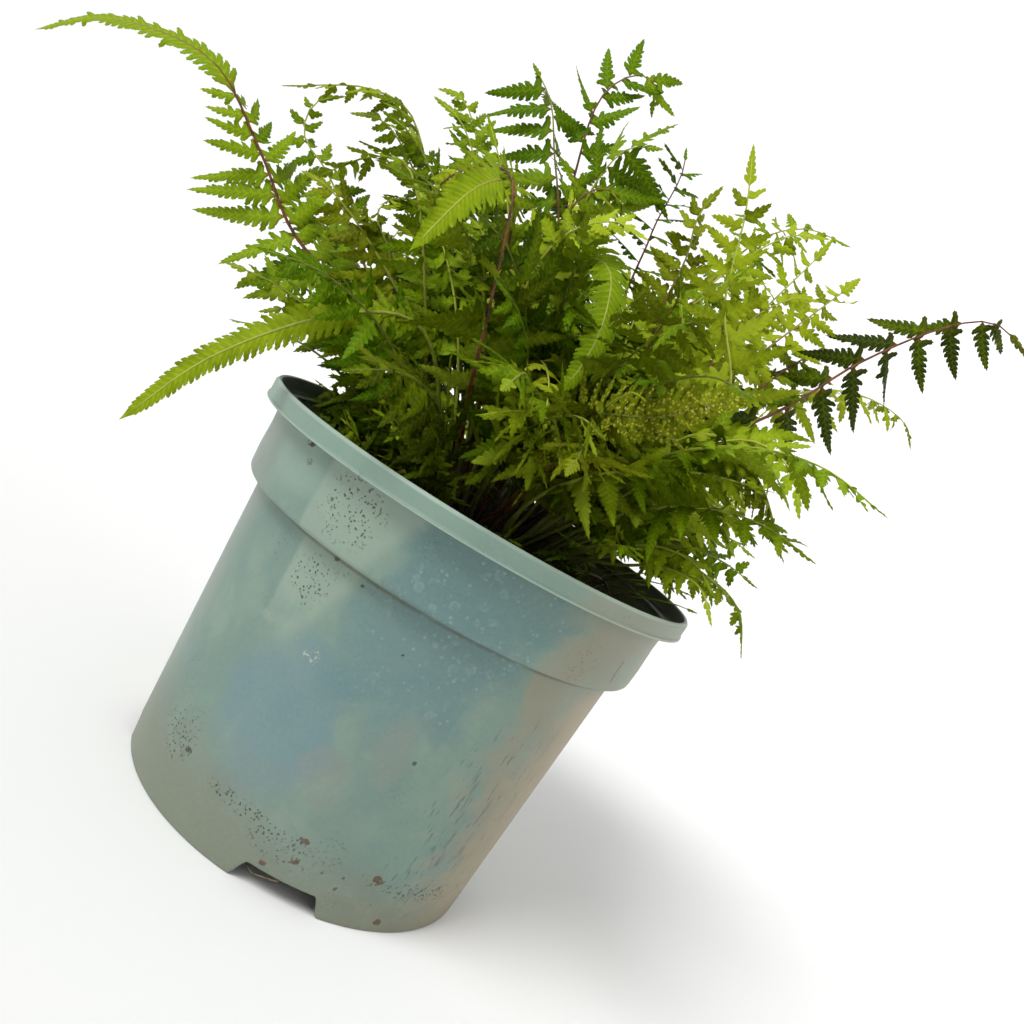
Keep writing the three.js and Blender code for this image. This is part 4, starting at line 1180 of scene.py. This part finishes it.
# Fronds that only the photograph shows, by the number of the planned frond whose piece they join.
EXTRAS = {
    2: [dict(path=[(-14, -5, 116), (-26, -6, 140), (-56, -14, 159), (-81, -22, 163), (-97, -28, 152)],
             wide=20, pairs=8, bare=0.4, facing=(0, -1, 0.7), fresh=0.6)],
    3: [dict(path=[(-12, 3, 117), (-30, 6, 165), (-52, 11, 193), (-72, 12, 213), (-90, 14, 227),
                   (-104, 14, 233), (-116, 14, 229)],
             wide=22, pairs=9, bare=0.4, facing=(-0.3, -1, 0.3), fresh=0.35, red=0.7, droop=30),
        dict(path=[(-10, 4, 117), (-22, -2, 151), (-48, 0, 190), (-69, 2, 218), (-87, 0, 231),
                   (-101, -4, 233)],
             wide=22, pairs=9, bare=0.45, facing=(0, -1, 0.2), fresh=0.3, red=0.6, droop=35),
        dict(path=[(-9, 2, 117), (-20, -3, 153), (-42, -8, 186), (-60, -10, 212), (-72, -14, 226)],
             wide=26, pairs=8, bare=0.4, facing=(0, -1, 0.8), fresh=0.55)],
    4: [dict(path=[(-13, 1, 117), (-27, -4, 148), (-55, -8, 176), (-81, -10, 192), (-101, -12, 200),
                   (-112, -14, 200)],
             wide=26, pairs=8, bare=0.4, facing=(0, -1, 0.6), fresh=0.5)],
    5: [dict(path=[(-9, -7, 117), (-18, -34, 153), (-22, -52, 168), (-28, -64, 190), (-34, -68, 209),
                   (-39, -66, 222), (-44, -62, 227), (-52, -56, 226), (-59, -54, 219), (-62, -54, 210)],
             wide=14, pairs=9, bare=0.76, facing=(0.2, -1, 0.6), fresh=0.6, red=1.0, lush=0.2, chaos=1),
        dict(path=[(-8, -2, 118), (-14, -6, 170), (-17, -10, 208), (-12, -20, 224), (-3, -31, 222),
                   (3, -42, 206), (4, -52, 190), (2, -58, 180)],
             wide=14, pairs=3, bare=0.5, facing=(0.2, -1, 0.3), fresh=0.45, red=0.5, lush=0.6,
             apex=(0.88, 9.5), uncut=0.08),
        dict(path=[(-5, -4, 118), (-14, -6, 156), (-25, -16, 201), (-24, -22, 224), (-12, -28, 237),
                   (2, -34, 237)],
             wide=25, pairs=8, bare=0.4, facing=(0, -1, 0.8), fresh=0.7)],
    6: [dict(path=[(-6, 4, 117), (-28, 10, 165), (-53, 15, 210), (-63, 20, 230), (-73, 24, 247),
                   (-85, 26, 257), (-96, 28, 256)],
             wide=25, pairs=9, bare=0.45, facing=(0.2, -1, 0.5), fresh=0.6),
        dict(path=[(-5, 2, 118), (-18, 0, 154), (-40, 4, 195), (-60, 6, 229), (-76, 6, 245),
                   (-90, 4, 248)],
             wide=24, pairs=8, bare=0.42, facing=(0, -1, 0.5), fresh=0.6)],
    7: [dict(path=[(-2, 5, 118), (-9, 6, 159), (-19, 10, 208), (-25, 10, 246), (-22, 6, 267),
                   (-10, 0, 273)],
             wide=30, pairs=8, bare=0.45, facing=(-0.3, -1, 0.3), fresh=0.45, droop=25, more=1.1,
             apex=(0.08, 2), reach=[(0, 0.7), (0.5, 0.9), (0.85, 0.9), (1, 0.6)])],
    9: [dict(path=[(10, -3, 117), (23, -5, 170), (22, -8, 205), (18, -10, 224), (16, -11, 243),
                   (12, -12, 257), (14, -12, 270)],
             wide=22, pairs=9, bare=0.45, facing=(0.4, -1, 0.3), fresh=0.5, red=0.8, lush=-0.5),
        dict(path=[(11, -2, 117), (29, 0, 161), (41, -5, 202), (45, -8, 233), (54, -10, 250),
                   (63, -12, 254)],
             wide=26, pairs=8, bare=0.4, facing=(0, -1, 0.4), fresh=0.75, red=0.8, lush=-0.3),
        dict(path=[(1, -8, 117), (2, -18, 148), (4, -34, 163), (12, -56, 178), (22, -68, 184),
                   (31, -73, 189), (39, -74, 197), (47, -70, 205), (54, -64, 211)],
             wide=15, pairs=13, bare=0.42, facing=(0.1, 1, -0.3), hang=-0.25, droop=0, fresh=0.12, red=0.5,
             lush=-0.4, chaos=0.7, spores=1),
        dict(path=[(6, -10, 117), (10, -26, 158), (18, -46, 177), (28, -54, 183), (38, -58, 186),
                   (46, -58, 184)],
             wide=12, pairs=11, bare=0.42, facing=(0.1, 1, -0.4), hang=0, droop=0, fresh=0.1, red=0.5,
             lush=-0.3, chaos=0.7, spores=1)],
    10: [dict(path=[(8, 6, 117), (18, 8, 175), (23, 11, 208), (28, 20, 237), (36, 25, 260),
                    (47, 28, 278), (61, 28, 285)],
              wide=24, pairs=9, bare=0.45, facing=(-0.2, -1, 0.6), fresh=0.75, red=0.6, lush=0.3),
         dict(path=[(6, 8, 117), (31, 10, 166), (46, 25, 214), (55, 40, 252), (63, 50, 280),
                    (66, 55, 294)],
              wide=26, pairs=8, bare=0.42, facing=(0.3, -1, 0.3), fresh=0.75, lush=-0.2)],
    13: [dict(path=[(12, -7, 117), (36, -12, 154), (50, -30, 186), (62, -42, 199), (76, -52, 197),
                    (85, -58, 185)],
              wide=27, pairs=8, bare=0.4, facing=(0, -1, 0.8), fresh=0.85)],
    14: [dict(path=[(19, -10, 116), (39, -20, 136), (51, -34, 152), (66, -44, 157), (78, -50, 151)],
              wide=20, pairs=7, bare=0.35, facing=(0, -1, 0.9), fresh=0.65),
         dict(path=[(16, -12, 116), (34, -16, 133), (50, -26, 142), (60, -40, 150), (70, -58, 152),
                    (78, -66, 144)],
              wide=14, pairs=9, bare=0.3, facing=(0.1, -1, 0.6), hang=0.05, fresh=0.85, lush=0.3, chaos=1)],
    37: [dict(path=[(-20, -5, 117), (-34, -6, 128), (-50, -8, 134), (-63, -9, 136), (-72, -10, 134)],
              wide=13, pairs=6, bare=0.25, facing=(-0.2, -1, 0.8), fresh=0.1, kind="young"),
         dict(path=[(-18, -12, 117), (-30, -18, 127), (-44, -24, 133), (-56, -30, 134), (-64, -34, 130)],
              wide=13, pairs=6, bare=0.25, facing=(0, -1, 0.8), fresh=0.35, lush=0.9, kind="young")],
    39: [dict(path=[(-6, -18, 118), (-10, -24, 128), (-20, -28, 134), (-30, -33, 137), (-38, -37, 135)],
              wide=14, pairs=4, bare=0.4, facing=(0, -1, 1), fresh=1.0, red=0, kind="young")],
}
print("the plant has", len(FRONDS), "fronds,", OUTLINE_COUNT, "of them on its outline")

# %% [markdown]
# ## One leaflet
#
# A leaflet of a lady fern is a small feather: lobes on both sides of its own rib, cut deep near its
# base and ever less towards its tip, each with teeth that point outwards. It is built flat once for
# each number of lobes. A lobe is a ladder of rows along its vein, wide at a tooth and narrow between
# teeth, and neighbours share the point where they meet. The lower face mirrors the upper one and
# meets it at the rim, so each leaflet is a thin closed body and not a card.

# %% Leaflet pattern
LOBE_ROWS = [(0.34, 0.95), (0.56, 0.7), (0.74, 0.78), (0.9, 0.34)]
SHORT_LOBE_ROWS = [(0.45, 0.88), (0.8, 0.5)]
UPPER, LOWER, STALK = 0, 1, 2


def blade_outline(x, taper=0.85):
    """A leaflet's half width at a share of its length, as a share of its widest half."""
    return np.minimum(1, 0.74 + 2.6 * x) * np.clip(1 - x, 0, 1) ** taper


class Leaflet:
    """A flat leaflet: its faces, and a row of numbers for each point.

    A row holds the share of the length, how far out, which side of the thickness, how near a vein,
    the lobe's number, how far along that lobe, and how much the point leans forward."""

    def __init__(self, lobes, uncut, ear, fine, forward, taper):
        self.rows = []
        self.threes = []
        self.fours = []
        self.sides = {3: [], 4: []}
        self.fine = fine
        self.forward = forward
        self.taper = taper
        weight = 1 - 0.45 * np.arange(lobes) / lobes
        start, stop = 0.035, 0.95 - 0.4 / (lobes + 1)
        marks = start + (stop - start) * np.concatenate([[0], np.cumsum(weight)]) / weight.sum()
        uncut_at = uncut + (0.85 - uncut) * marks ** 1.2
        ribs = [self.pair(x, 0, 1 - 0.5 * x, 1) for x in marks]
        middles = [self.pair((a + b) / 2, 0, 1 - 0.5 * a, 1) for a, b in zip(marks, marks[1:])]
        root = self.pair(0, 0, 1.2, 1)
        root_rims = {}
        for side in (1, -1):
            valleys = [self.dot(x, side * blade_outline(x, taper) * u) for x, u in zip(marks, uncut_at)]
            root_rims[side] = self.dot(0, side * 0.07)
            self.both(root, ribs[0], valleys[0], root_rims[side], side)
            for i in range(lobes):
                self.lobe(i, marks, uncut_at, ribs, middles, valleys, side, ear if side > 0 and i == 0 else 1)
            self.tip(marks[-1], uncut_at[-1], ribs[-1], valleys[-1], side)
        self.face((root[0], root_rims[1], root[1], root_rims[-1]), 1, UPPER)
        self.rows = np.array(self.rows)
        self.threes = np.array(self.threes)
        self.fours = np.array(self.fours)
        self.choice = tuple(np.array(self.sides[n]) for n in (3, 4))

    def dot(self, x, out, high=0.0, vein=0.0, lobe=-1, reach=0.0, forward=None):
        if forward is None:
            forward = self.forward[0] + (self.forward[1] - self.forward[0]) * x
        self.rows.append((x, out, high, vein, lobe, reach, forward))
        return len(self.rows) - 1

    def pair(self, x, out, high, vein, lobe=-1, reach=0.0, forward=None):
        return tuple(self.dot(x, out, s * high, vein, lobe, reach, forward) for s in (1, -1))

    def face(self, corners, side, level):
        turned = corners if (side > 0) == (level == UPPER) else corners[::-1]
        (self.threes if len(corners) == 3 else self.fours).append(turned)
        self.sides[len(corners)].append(level)

    def both(self, a, b, c, d, side):
        """A face on each side of the leaf. Corners that are pairs differ, the rim is shared."""
        for level in (UPPER, LOWER):
            corners = tuple(p[level] if isinstance(p, tuple) else p for p in (a, b, c, d) if p is not None)
            self.face(corners, side, level)

    def lobe(self, i, marks, uncut_at, ribs, middles, valleys, side, longer):
        centre, half = (marks[i] + marks[i + 1]) / 2, (marks[i + 1] - marks[i]) / 2
        width = blade_outline(centre, self.taper)
        foot = width * (uncut_at[i] + uncut_at[i + 1]) / 2
        tip = width * longer
        forward = 0.05 if longer > 1 else self.forward[0] + (self.forward[1] - self.forward[0]) * centre
        number = 2 * i + (side > 0)
        low = (ribs[i], middles[i], ribs[i + 1])
        high = (valleys[i], self.pair(centre, side * foot, 0.75, 1, number, 0, forward), valleys[i + 1])
        self.both(low[0], low[1], high[1], high[0], side)
        self.both(low[1], low[2], high[2], high[1], side)
        rows = LOBE_ROWS if self.fine and width > 0.42 else SHORT_LOBE_ROWS
        for share, wide in rows:
            low = high
            out = side * (foot + (tip - foot) * share)
            tooth = side * (tip - foot) * (0.07 if wide > 0.75 else -0.02)
            high = (
                self.dot(centre - half * wide, out + tooth, 0, 0, number, share, forward),
                self.pair(centre, out, 0.75 - 0.5 * share, 1, number, share, forward),
                self.dot(centre + half * wide, out + tooth, 0, 0, number, share, forward),
            )
            self.both(low[0], low[1], high[1], high[0], side)
            self.both(low[1], low[2], high[2], high[1], side)
        end = self.dot(centre + half * 0.1, side * tip, 0, 0.5, number, 1, forward)
        self.both(high[0], high[1], end, None, side)
        self.both(high[1], high[2], end, None, side)

    def tip(self, start, uncut, rib, valley, side):
        if side > 0:
            self.point = self.dot(1, 0, 0, 1)
            self.middle = self.pair(start + 0.5 * (1 - start), 0, 0.35, 1)
        rim = self.dot(start + 0.5 * (1 - start), side * 0.45 * blade_outline(start, self.taper) * uncut)
        self.both(rib, self.middle, rim, valley, side)
        self.both(self.middle, self.point, rim, None, side)


patterns = {}


def leaflet_pattern(lobes, uncut, ear, fine=True, forward=(0.5, 0.95), taper=0.85):
    key = (lobes, uncut, ear, fine, forward, taper)
    if key not in patterns:
        patterns[key] = Leaflet(*key)
    return patterns[key]


sample = leaflet_pattern(10, 0.4, 1.5)
print("a leaflet with 10 lobes a side has", len(sample.threes) + len(sample.fours), "faces")

# %% [markdown]
# ## Bend a flat leaflet into place
#
# The flat pattern is laid along a line in space: its length goes along the line, its lobes go
# sideways, and its thickness goes up from its face. Sag, a sideways curl, a cupped section, a twist
# and a small lift of each lobe keep two leaflets from ever looking the same.

# %% Lay a leaflet
HALF_THICKNESS = 0.16
MOUTH = CUFF_BOTTOM_RADIUS - WALL - 1.2
RIM = LIP_RADIUS + 1
RIM_MIDDLE = 82


def clear_of_pot(points):
    """Points moved off the soil, and off the pot's wall to the side of it that they are nearest."""
    x, y, z = points.T
    away = np.maximum(np.hypot(x, y), 1)
    z = np.where(away < MOUTH, np.maximum(z, soil_height(x, y) + 0.8), z)
    low = z < POT_HEIGHT + 0.8
    target = np.where(low & (away > MOUTH) & (away < RIM_MIDDLE), MOUTH, away)
    target = np.where(low & (away >= RIM_MIDDLE) & (away < RIM), RIM, target)
    return np.stack([x * target / away, y * target / away, z], -1)


def lay_leaflet(pile, pattern, spine, length, half, cup, lift, tone, **values):
    """Adds a leaflet. spine gives point, along, sideways and up for shares of its length."""
    x, out, high, vein, lobe, reach, forward = pattern.rows.T
    y = out * half
    share = x + forward * np.abs(y) / length
    point, along, sideways, up = spine(share)
    thick = HALF_THICKNESS * (1 if length > 9 else 0.75)
    jitter = np.where(lobe >= 0, lift[lobe.astype(int) % len(lift)], 0) * reach * np.abs(y)
    z = high * thick - cup * y ** 2 / half + jitter
    points = clear_of_pot(point + sideways * y[:, None] + up * z[:, None])
    handed = np.cross(along[0], sideways[0]) @ up[0] > 0
    threes = pattern.threes if handed else pattern.threes[:, ::-1]
    fours = pattern.fours if handed else pattern.fours[:, ::-1]
    pile.add(points, threes, fours, pattern.choice, high == 0, vein=vein, reach=np.maximum(reach, 0),
             tone=tone, along=x, **values)


def bent_spine(start, toward, sideways, up, length, sag, curl, twist):
    """A leaflet's own rib: straight at first, then sagging, curling sideways and twisting."""

    def spine(share):
        s = share[:, None]
        point = start + length * (toward * s - up * sag * s ** 2 + sideways * curl * s ** 2)
        along = unit(toward - up * 2 * sag * s + sideways * 2 * curl * s)
        face = unit(up - along * (along @ up)[:, None])
        side = unit(sideways - along * (along @ sideways)[:, None])
        side = unit(side - face * np.sum(side * face, axis=1)[:, None])
        near, off = np.cos(twist * s), np.sin(twist * s)
        return point, along, side * near - face * off, face * near + side * off

    return spine


def rib_spine(rib, start, stop):
    """The frond's last stretch, where the leaflets have grown into one lobed blade."""

    def spine(share):
        point, along, across, up = rib.at(start + (stop - start) * share)
        over = np.clip(share - 1, 0, None)[:, None]
        return point + along * over * rib.length * (stop - start), along, across, up

    return spine


print("a leaflet is", 2 * HALF_THICKNESS, "mm thick at its rib")

# %% [markdown]
# ## A whole frond
#
# The stalk is a tube that thins towards the tip, with a shallow groove on its face. Leaflets sit on
# it by turns, ever closer and shorter towards the tip, and lean forward the more the further out
# they are. The last stretch is one lobed blade.

# %% Frond
# What a frond is like where its plan says nothing: first for every frond, then by its kind. stalk
# is its radius at the root and at the tip, and small the range of its companions' sizes.
COMMON = dict(kind="outline", planned=False, companions=2, roll=(0, 0), facing=None, droop=12, hang=0.15,
              red=0.3, spores=0, apex=(0.12, None), uncut=0.34)
HABITS = {
    "outline": dict(stalk=(1.0, 0.22), more=1.5, level=0.15, chaos=1.2, small=(0.5, 0.85)),
    "filling": dict(stalk=(0.9, 0.2), more=1.7, level=0.15, chaos=2, small=(0.72, 1.0)),
    "young": dict(stalk=(0.6, 0.15), more=1.7, level=0.2, chaos=2, small=(0.8, 1.05)),
}
LOBE_SPACING = 2.4
APEX_LOBE_SPACING = 2.6
EYE = np.array(camera.location) / MM
# Gaps that the photograph looks through, each as places with the radius kept free round them: to the
# backdrop at the left and at the right, to the pot's lip, and to the leaf with the spore dots.
LEFT_GAP = [((-92, 0, 139), 6), ((-81, 0, 142), 7), ((-70, 0, 146), 6)]
RIGHT_GAP = [((93, 0, 161), 13), ((108, 0, 157), 16), ((86, 0, 144), 8)]
WALL_GAP = [((49.6, 0, 134), 8), ((57.3, 0, 135.3), 10), ((65.9, 0, 135.3), 9), ((72, 0, 135.6), 8),
            ((82, 0, 137), 5)]
SPORE_WINDOW = [((14, -58, 184), 8), ((23, -67, 188), 8), ((32, -70, 195), 8), ((42, -68, 203), 8)]
SPORE_LEAF_FRONT = -38
PAINTED = ("fresh", "red", "spores", "lush")
MOUTH_MIDDLE, MOUTH_HALF, MOUTH_TOP = 9, 27, 147


def leaflet_length(plan, spread):
    """How long a leaflet is at a share of the leafy stretch: longest at a third, then tapering."""
    if "reach" in plan:
        return plan["wide"] * float(np.interp(spread, *zip(*plan["reach"])))
    if spread < 0.3:
        return plan["wide"] * (0.6 + 0.4 * math.sin(math.pi / 2 * spread / 0.3))
    return plan["wide"] * ((1 - spread) / 0.7) ** 0.8


def leaflet_half(length, spacing):
    """Half a leaflet's width. A short one is wide for its length, and neighbours hardly overlap."""
    return min(0.62 * spacing, length * (0.165 + 0.4 * math.exp(-length / 9)))


def in_mouth(spot):
    """Whether a place is in front of the dark earth that shows between the leaves."""
    x, y, z = spot
    return abs(x - MOUTH_MIDDLE) < MOUTH_HALF and y < 0 and z < MOUTH_TOP


def in_gap(spot, gap):
    """Whether a place is in a gap that the photograph looks through."""
    for place, radius in gap:
        sight = np.array(place) - EYE
        share = (spot - EYE) @ sight / (sight @ sight)
        if np.linalg.norm(spot - EYE - share * sight) < radius * share:
            return True
    return False


def full(plan):
    """A frond's plan together with what its kind decides."""
    return {**COMMON, **HABITS[plan.get("kind", "outline")], **plan}


def add_stalk(pile, rib, plan, sides=8):
    thick, thin = plan["stalk"]
    shares = np.linspace(0, 0.97, 20 if plan["kind"] == "young" else 34)
    point, along, across, up = rib.at(shares)
    radius = thin + (thick - thin) * (1 - shares) ** 1.1 + 0.6 * thick * np.exp(-shares / 0.03)
    turn = np.linspace(0, 2 * np.pi, sides, endpoint=False)
    groove = 1 - 0.28 * np.exp(-((turn - np.pi / 2) / 0.4) ** 2)
    ring = across[:, None] * np.cos(turn)[:, None] + up[:, None] * np.sin(turn)[:, None]
    rings = point[:, None] + ring * groove[:, None] * radius[:, None, None]
    share = np.concatenate([np.repeat(shares, sides), [0, 1]])
    pile.add(*closed_rings(rings, point[0], point[-1]), STALK, along=share, red=plan["red"],
             fresh=plan["fresh"])


def add_leaflets(pile, rib, plan, random):
    chaos = plan["chaos"]
    count = round(plan["pairs"] * plan["more"])
    last = 1 - plan["apex"][0]
    leafy = rib.length * (1 - plan["bare"])
    gap = LEFT_GAP + WALL_GAP + ([] if plan["planned"] else RIGHT_GAP)
    for i in range(2 * count):
        side = 1 if i % 2 else -1
        spread = ((i // 2 + (0.35 if side > 0 else 0)) / count) ** 0.82 * last
        share = plan["bare"] + (1 - plan["bare"]) * spread
        spacing = leafy * last * 0.82 * max(spread, 0.03) ** (-0.22) / count
        length = leaflet_length(plan, spread) * random.uniform(0.9, 1.08)
        point, along, across, up = (v[0] for v in rib.at(share))
        outward = across * side
        tilt = math.radians(plan["droop"] + random.normal(0, 9 * chaos))
        reach = outward * math.cos(tilt) - up * math.sin(tilt)
        lean = math.radians(78 - 30 * spread + random.normal(0, 5 * chaos))
        toward = unit(reach * math.sin(lean) + along * math.cos(lean))
        toward = unit(toward - np.array([0, 0, plan["hang"]]))
        middle = point + toward * length * 0.5
        if (plan["kind"] != "young" and in_mouth(middle)) or in_gap(point, gap) or in_gap(middle, gap):
            continue
        if not plan["spores"] and middle[1] < SPORE_LEAF_FRONT and in_gap(middle, SPORE_WINDOW):
            continue
        face = up * math.cos(tilt) + outward * math.sin(tilt)
        level = np.clip(plan["level"] + random.normal(0, 0.12 * chaos), 0, 0.9)
        face = face + (np.array([0, 0, 1.0]) - face) * level
        face = unit(face - toward * (face @ toward))
        sideways = np.cross(toward, face)
        sideways = sideways if sideways @ along > 0 else -sideways
        half = leaflet_half(length, spacing)
        lobes = int(np.clip(round(length / LOBE_SPACING), 3, 12))
        uncut = 0.3 if length > 10 else 0.5
        pattern = leaflet_pattern(lobes, uncut, 1.45 if length > 14 else 1.1, plan["kind"] == "outline")
        spine = bent_spine(point + outward * 0.2, toward, sideways, face, length,
                           sag=random.normal(0.14, 0.07 * chaos), curl=random.normal(0.08, 0.06 * chaos),
                           twist=random.normal(0, 0.35 * chaos))
        lay_leaflet(pile, pattern, spine, length, half, cup=random.normal(0.16, 0.16),
                    lift=random.normal(0, 0.25, 24), tone=random.uniform(0, 1), outer=spread,
                    **{label: plan[label] for label in PAINTED})


def add_apex(pile, rib, plan, random):
    stretch, half = plan["apex"]
    start = plan["bare"] + (1 - plan["bare"]) * (1 - stretch * 1.05)
    length = rib.length * (1 - start)
    half = half or min(leaflet_length(plan, 1 - stretch) * 0.42, length * 0.22)
    lobes = int(np.clip(round(length / APEX_LOBE_SPACING), 4, 34))
    taper = plan.get("taper", 0.55 if half > 5 else 0.85)
    pattern = leaflet_pattern(lobes, plan["uncut"], 1, True, (0.6, 1.0), taper)
    lay_leaflet(pile, pattern, rib_spine(rib, start, 1.0), length, half, cup=random.normal(0.15, 0.1),
                lift=random.normal(0, 0.2, 24), tone=random.uniform(0.5, 1), outer=0.95,
                **{label: plan[label] for label in PAINTED})


print("a leaflet of 20 mm is at most", round(2 * leaflet_half(20, 20), 1), "mm wide")

# %% [markdown]
# ## Companions
#
# The photograph shows far more fronds than the plain model has room for. So each piece gets smaller
# companions from the same root: its own midrib, shrunk and turned a little, with leaflets of its own.

# %% Companions
PLAIN_REACH = [(0, 0.65), (0.3, 1), (0.6, 0.8), (0.85, 0.4), (1, 0.15)]
TRIES = 12


def clears_rim(path):
    """Whether a midrib passes over the lip of the pot."""
    x, y, z = Midrib(path).point(np.linspace(0, 1, 60)).T
    away = np.hypot(x, y)
    return not np.any((away > MOUTH - 5) & (away < RIM + 3) & (z < POT_HEIGHT + 4))


def companion(plan, random):
    """A smaller frond beside a planned one, or None where none would clear the pot."""
    root = np.array(plan["path"][0], float)
    path = np.array(plan["path"], float) - root
    out = unit(path[-1] * (1, 1, 0))
    bow = np.sin(np.linspace(0, np.pi, len(path)))[:, None] * (-out[1], out[0], 0.3)
    for _ in range(TRIES):
        size = random.uniform(*plan["small"])
        tip = Matrix.Rotation(random.normal(-0.05, 0.15), 3, Vector((-out[1], out[0], 0)))
        turned = Matrix.Rotation(random.normal(0, 0.36), 3, "Z") @ tip
        moved = root * 0.93 + path @ np.array(turned).T * size + random.normal(0, 2, 3) * (1, 1, 0)
        moved = moved + bow * random.normal(0, 0.09) * np.linalg.norm(path[-1])
        blocked = in_mouth(moved[3]) or any(in_gap(spot, RIGHT_GAP) for spot in moved)
        if clears_rim(moved) and not blocked:
            return full(dict(
                kind="young" if plan["kind"] == "young" else "filling", path=moved, pairs=plan["pairs"],
                wide=max(plan["wide"], 18) * max(size, 0.75), reach=PLAIN_REACH, red=plan["red"],
                bare=plan["bare"] * 0.85, facing=(random.normal(0, 0.5), random.normal(-0.7, 0.5), 0.8),
                fresh=float(np.clip(plan["fresh"] + random.normal(0, 0.2), 0, 1)),
            ))
    return None


beside = companion(full(FRONDS[20]), np.random.default_rng(1))
print("a companion of frond 21 is", round(Midrib(beside["path"]).length), "mm long")

# %% [markdown]
# ## Leaf and stalk finishes
#
# The leaves are a bright yellow-green that deepens in older fronds. A pale line follows each rib and
# the lobes' veins, the lower face is duller and paler, and stalks go from brown at the root through
# purple-brown to green. The points carry how near a vein is, so the lines need no drawing. Leaves and
# stalks low between the other stalks get painted shade, from a mask by place.

# %% Painted shade in the pot
def painted_pot_shade(finish):
    """Where painted shade falls: 1 low between the stalks, and 0 in the open."""
    x, y, z = finish.place_in_mm()
    return ((x * x + y * y) ** 0.5).rise(84, 58) * z.rise(156, 126)


# %% Leaf finish
def leaf_finish(name, under):
    finish = Finish(name, 0.5, **{"Specular IOR Level": 0.07})
    labels = ("fresh", "tone", "vein", "outer", "red", "along", "lush")
    fresh, tone, vein, outer, red, along, lush = (finish.attribute(label) for label in labels)
    mottle = finish.noise(6, 3, 0.6)
    fine = finish.noise(0.8, 2, 0.6)
    light = fresh * 0.75 + tone * 0.22 + outer * 0.18 + (mottle - 0.5) * 0.4
    finish.colour = finish.mix(light.rise(0.08, 0.5), paint(44, 58, 0), paint(102, 126, 0))
    finish.coat(light.rise(0.45, 0.95), 170, 190, 30)
    finish.coat(tone.rise(0.35, 0) * 0.45, 40, 54, 0)
    finish.coat(tone.rise(0.7, 1) * light.rise(0.2, 0.6) * 0.4, 186, 204, 62)
    finish.coat(lush.rise(0.1, 1) * 0.5, 80, 132, 0)
    finish.coat(lush.rise(-0.1, -0.8) * 0.5, 118, 108, 6)
    finish.coat(fine.rise(0.45, 0.8) * 0.25, 76, 100, 0)
    if under:
        finish.coat(0.3, 144, 154, 24)
        spore_dots = finish.spots(1.15).rise(0.42, 0.3) * finish.attribute("spores")
        finish.coat(spore_dots * 0.8, 192, 188, 66)
    finish.coat(vein.rise(0.86, 0.98) * (light * 0.3 + 0.06), 188, 202, 40)
    finish.coat(along.rise(0.1, 0.0) * red * 0.6, 112, 84, 40)
    # Painted shade low between the stalks.
    finish.coat(painted_pot_shade(finish) * 0.6, 20, 30, 0)
    roughness = 0.5 + fine * 0.16 + (0.12 if under else 0)
    return finish.wear(roughness, finish.bump(vein * 0.5 + fine * 0.25 + mottle * 0.2, 0.12))


def stalk_finish():
    finish = Finish("fern stalk", 0.45)
    along = finish.attribute("along")
    streak = finish.noise(2.2, 3, 0.6, stretch=(1, 1, 0.4))
    light = finish.attribute("fresh") * 0.8 + (streak - 0.5) * 0.5 + along * 0.3
    green = finish.mix(light.rise(0.1, 0.9), paint(84, 98, 10), paint(182, 194, 62))
    purple = finish.mix(streak.rise(0.3, 0.7), paint(70, 28, 12), paint(142, 78, 30))
    reddened = finish.attribute("red") * 1.7 - along * 0.9 + (streak - 0.5) * 0.2
    finish.colour = finish.mix(reddened.rise(0.45, 0.85), green, purple)
    # Old brown stalk bases, and painted shade low between the stalks.
    finish.coat(along.rise(0.34, 0.06).most(painted_pot_shade(finish)) * 0.92, 32, 23, 11)
    return finish.wear(0.42 + streak * 0.2, finish.bump(streak, 0.1))


LEAF_MATERIALS = [leaf_finish("fern leaf", False), leaf_finish("fern leaf underside", True), stalk_finish()]
print("leaf finishes:", [m.name for m in LEAF_MATERIALS])


# %% Grow the fronds
def grow(pile, plan, random):
    plan = {"lush": random.uniform(-0.6, 1), **plan}
    rib = Midrib(plan["path"], plan["roll"], plan["facing"])
    add_stalk(pile, rib, plan)
    add_leaflets(pile, rib, plan, random)
    add_apex(pile, rib, plan, random)


def make_frond(number, plan):
    plan = full(plan)
    random = np.random.default_rng(100 + number)
    pile = Pile()
    grow(pile, {**plan, "planned": True}, random)
    for _ in range(plan["companions"]):
        beside = companion(plan, random)
        if beside:
            grow(pile, beside, random)
    for extra in EXTRAS.get(number, []):
        grow(pile, full({"chaos": 2, **extra}), random)
    node = f"frond_{number:02d}"
    return seat(pile.make(f"leafy_{node}", LEAF_MATERIALS), "leaf", node)


fronds = [make_frond(number, plan) for number, plan in enumerate(FRONDS, 1)]
corner_count = sum(len(frond.data.loops) - 2 * len(frond.data.polygons) for frond in fronds)
print(len(fronds), "pieces of fronds with", corner_count, "triangles")
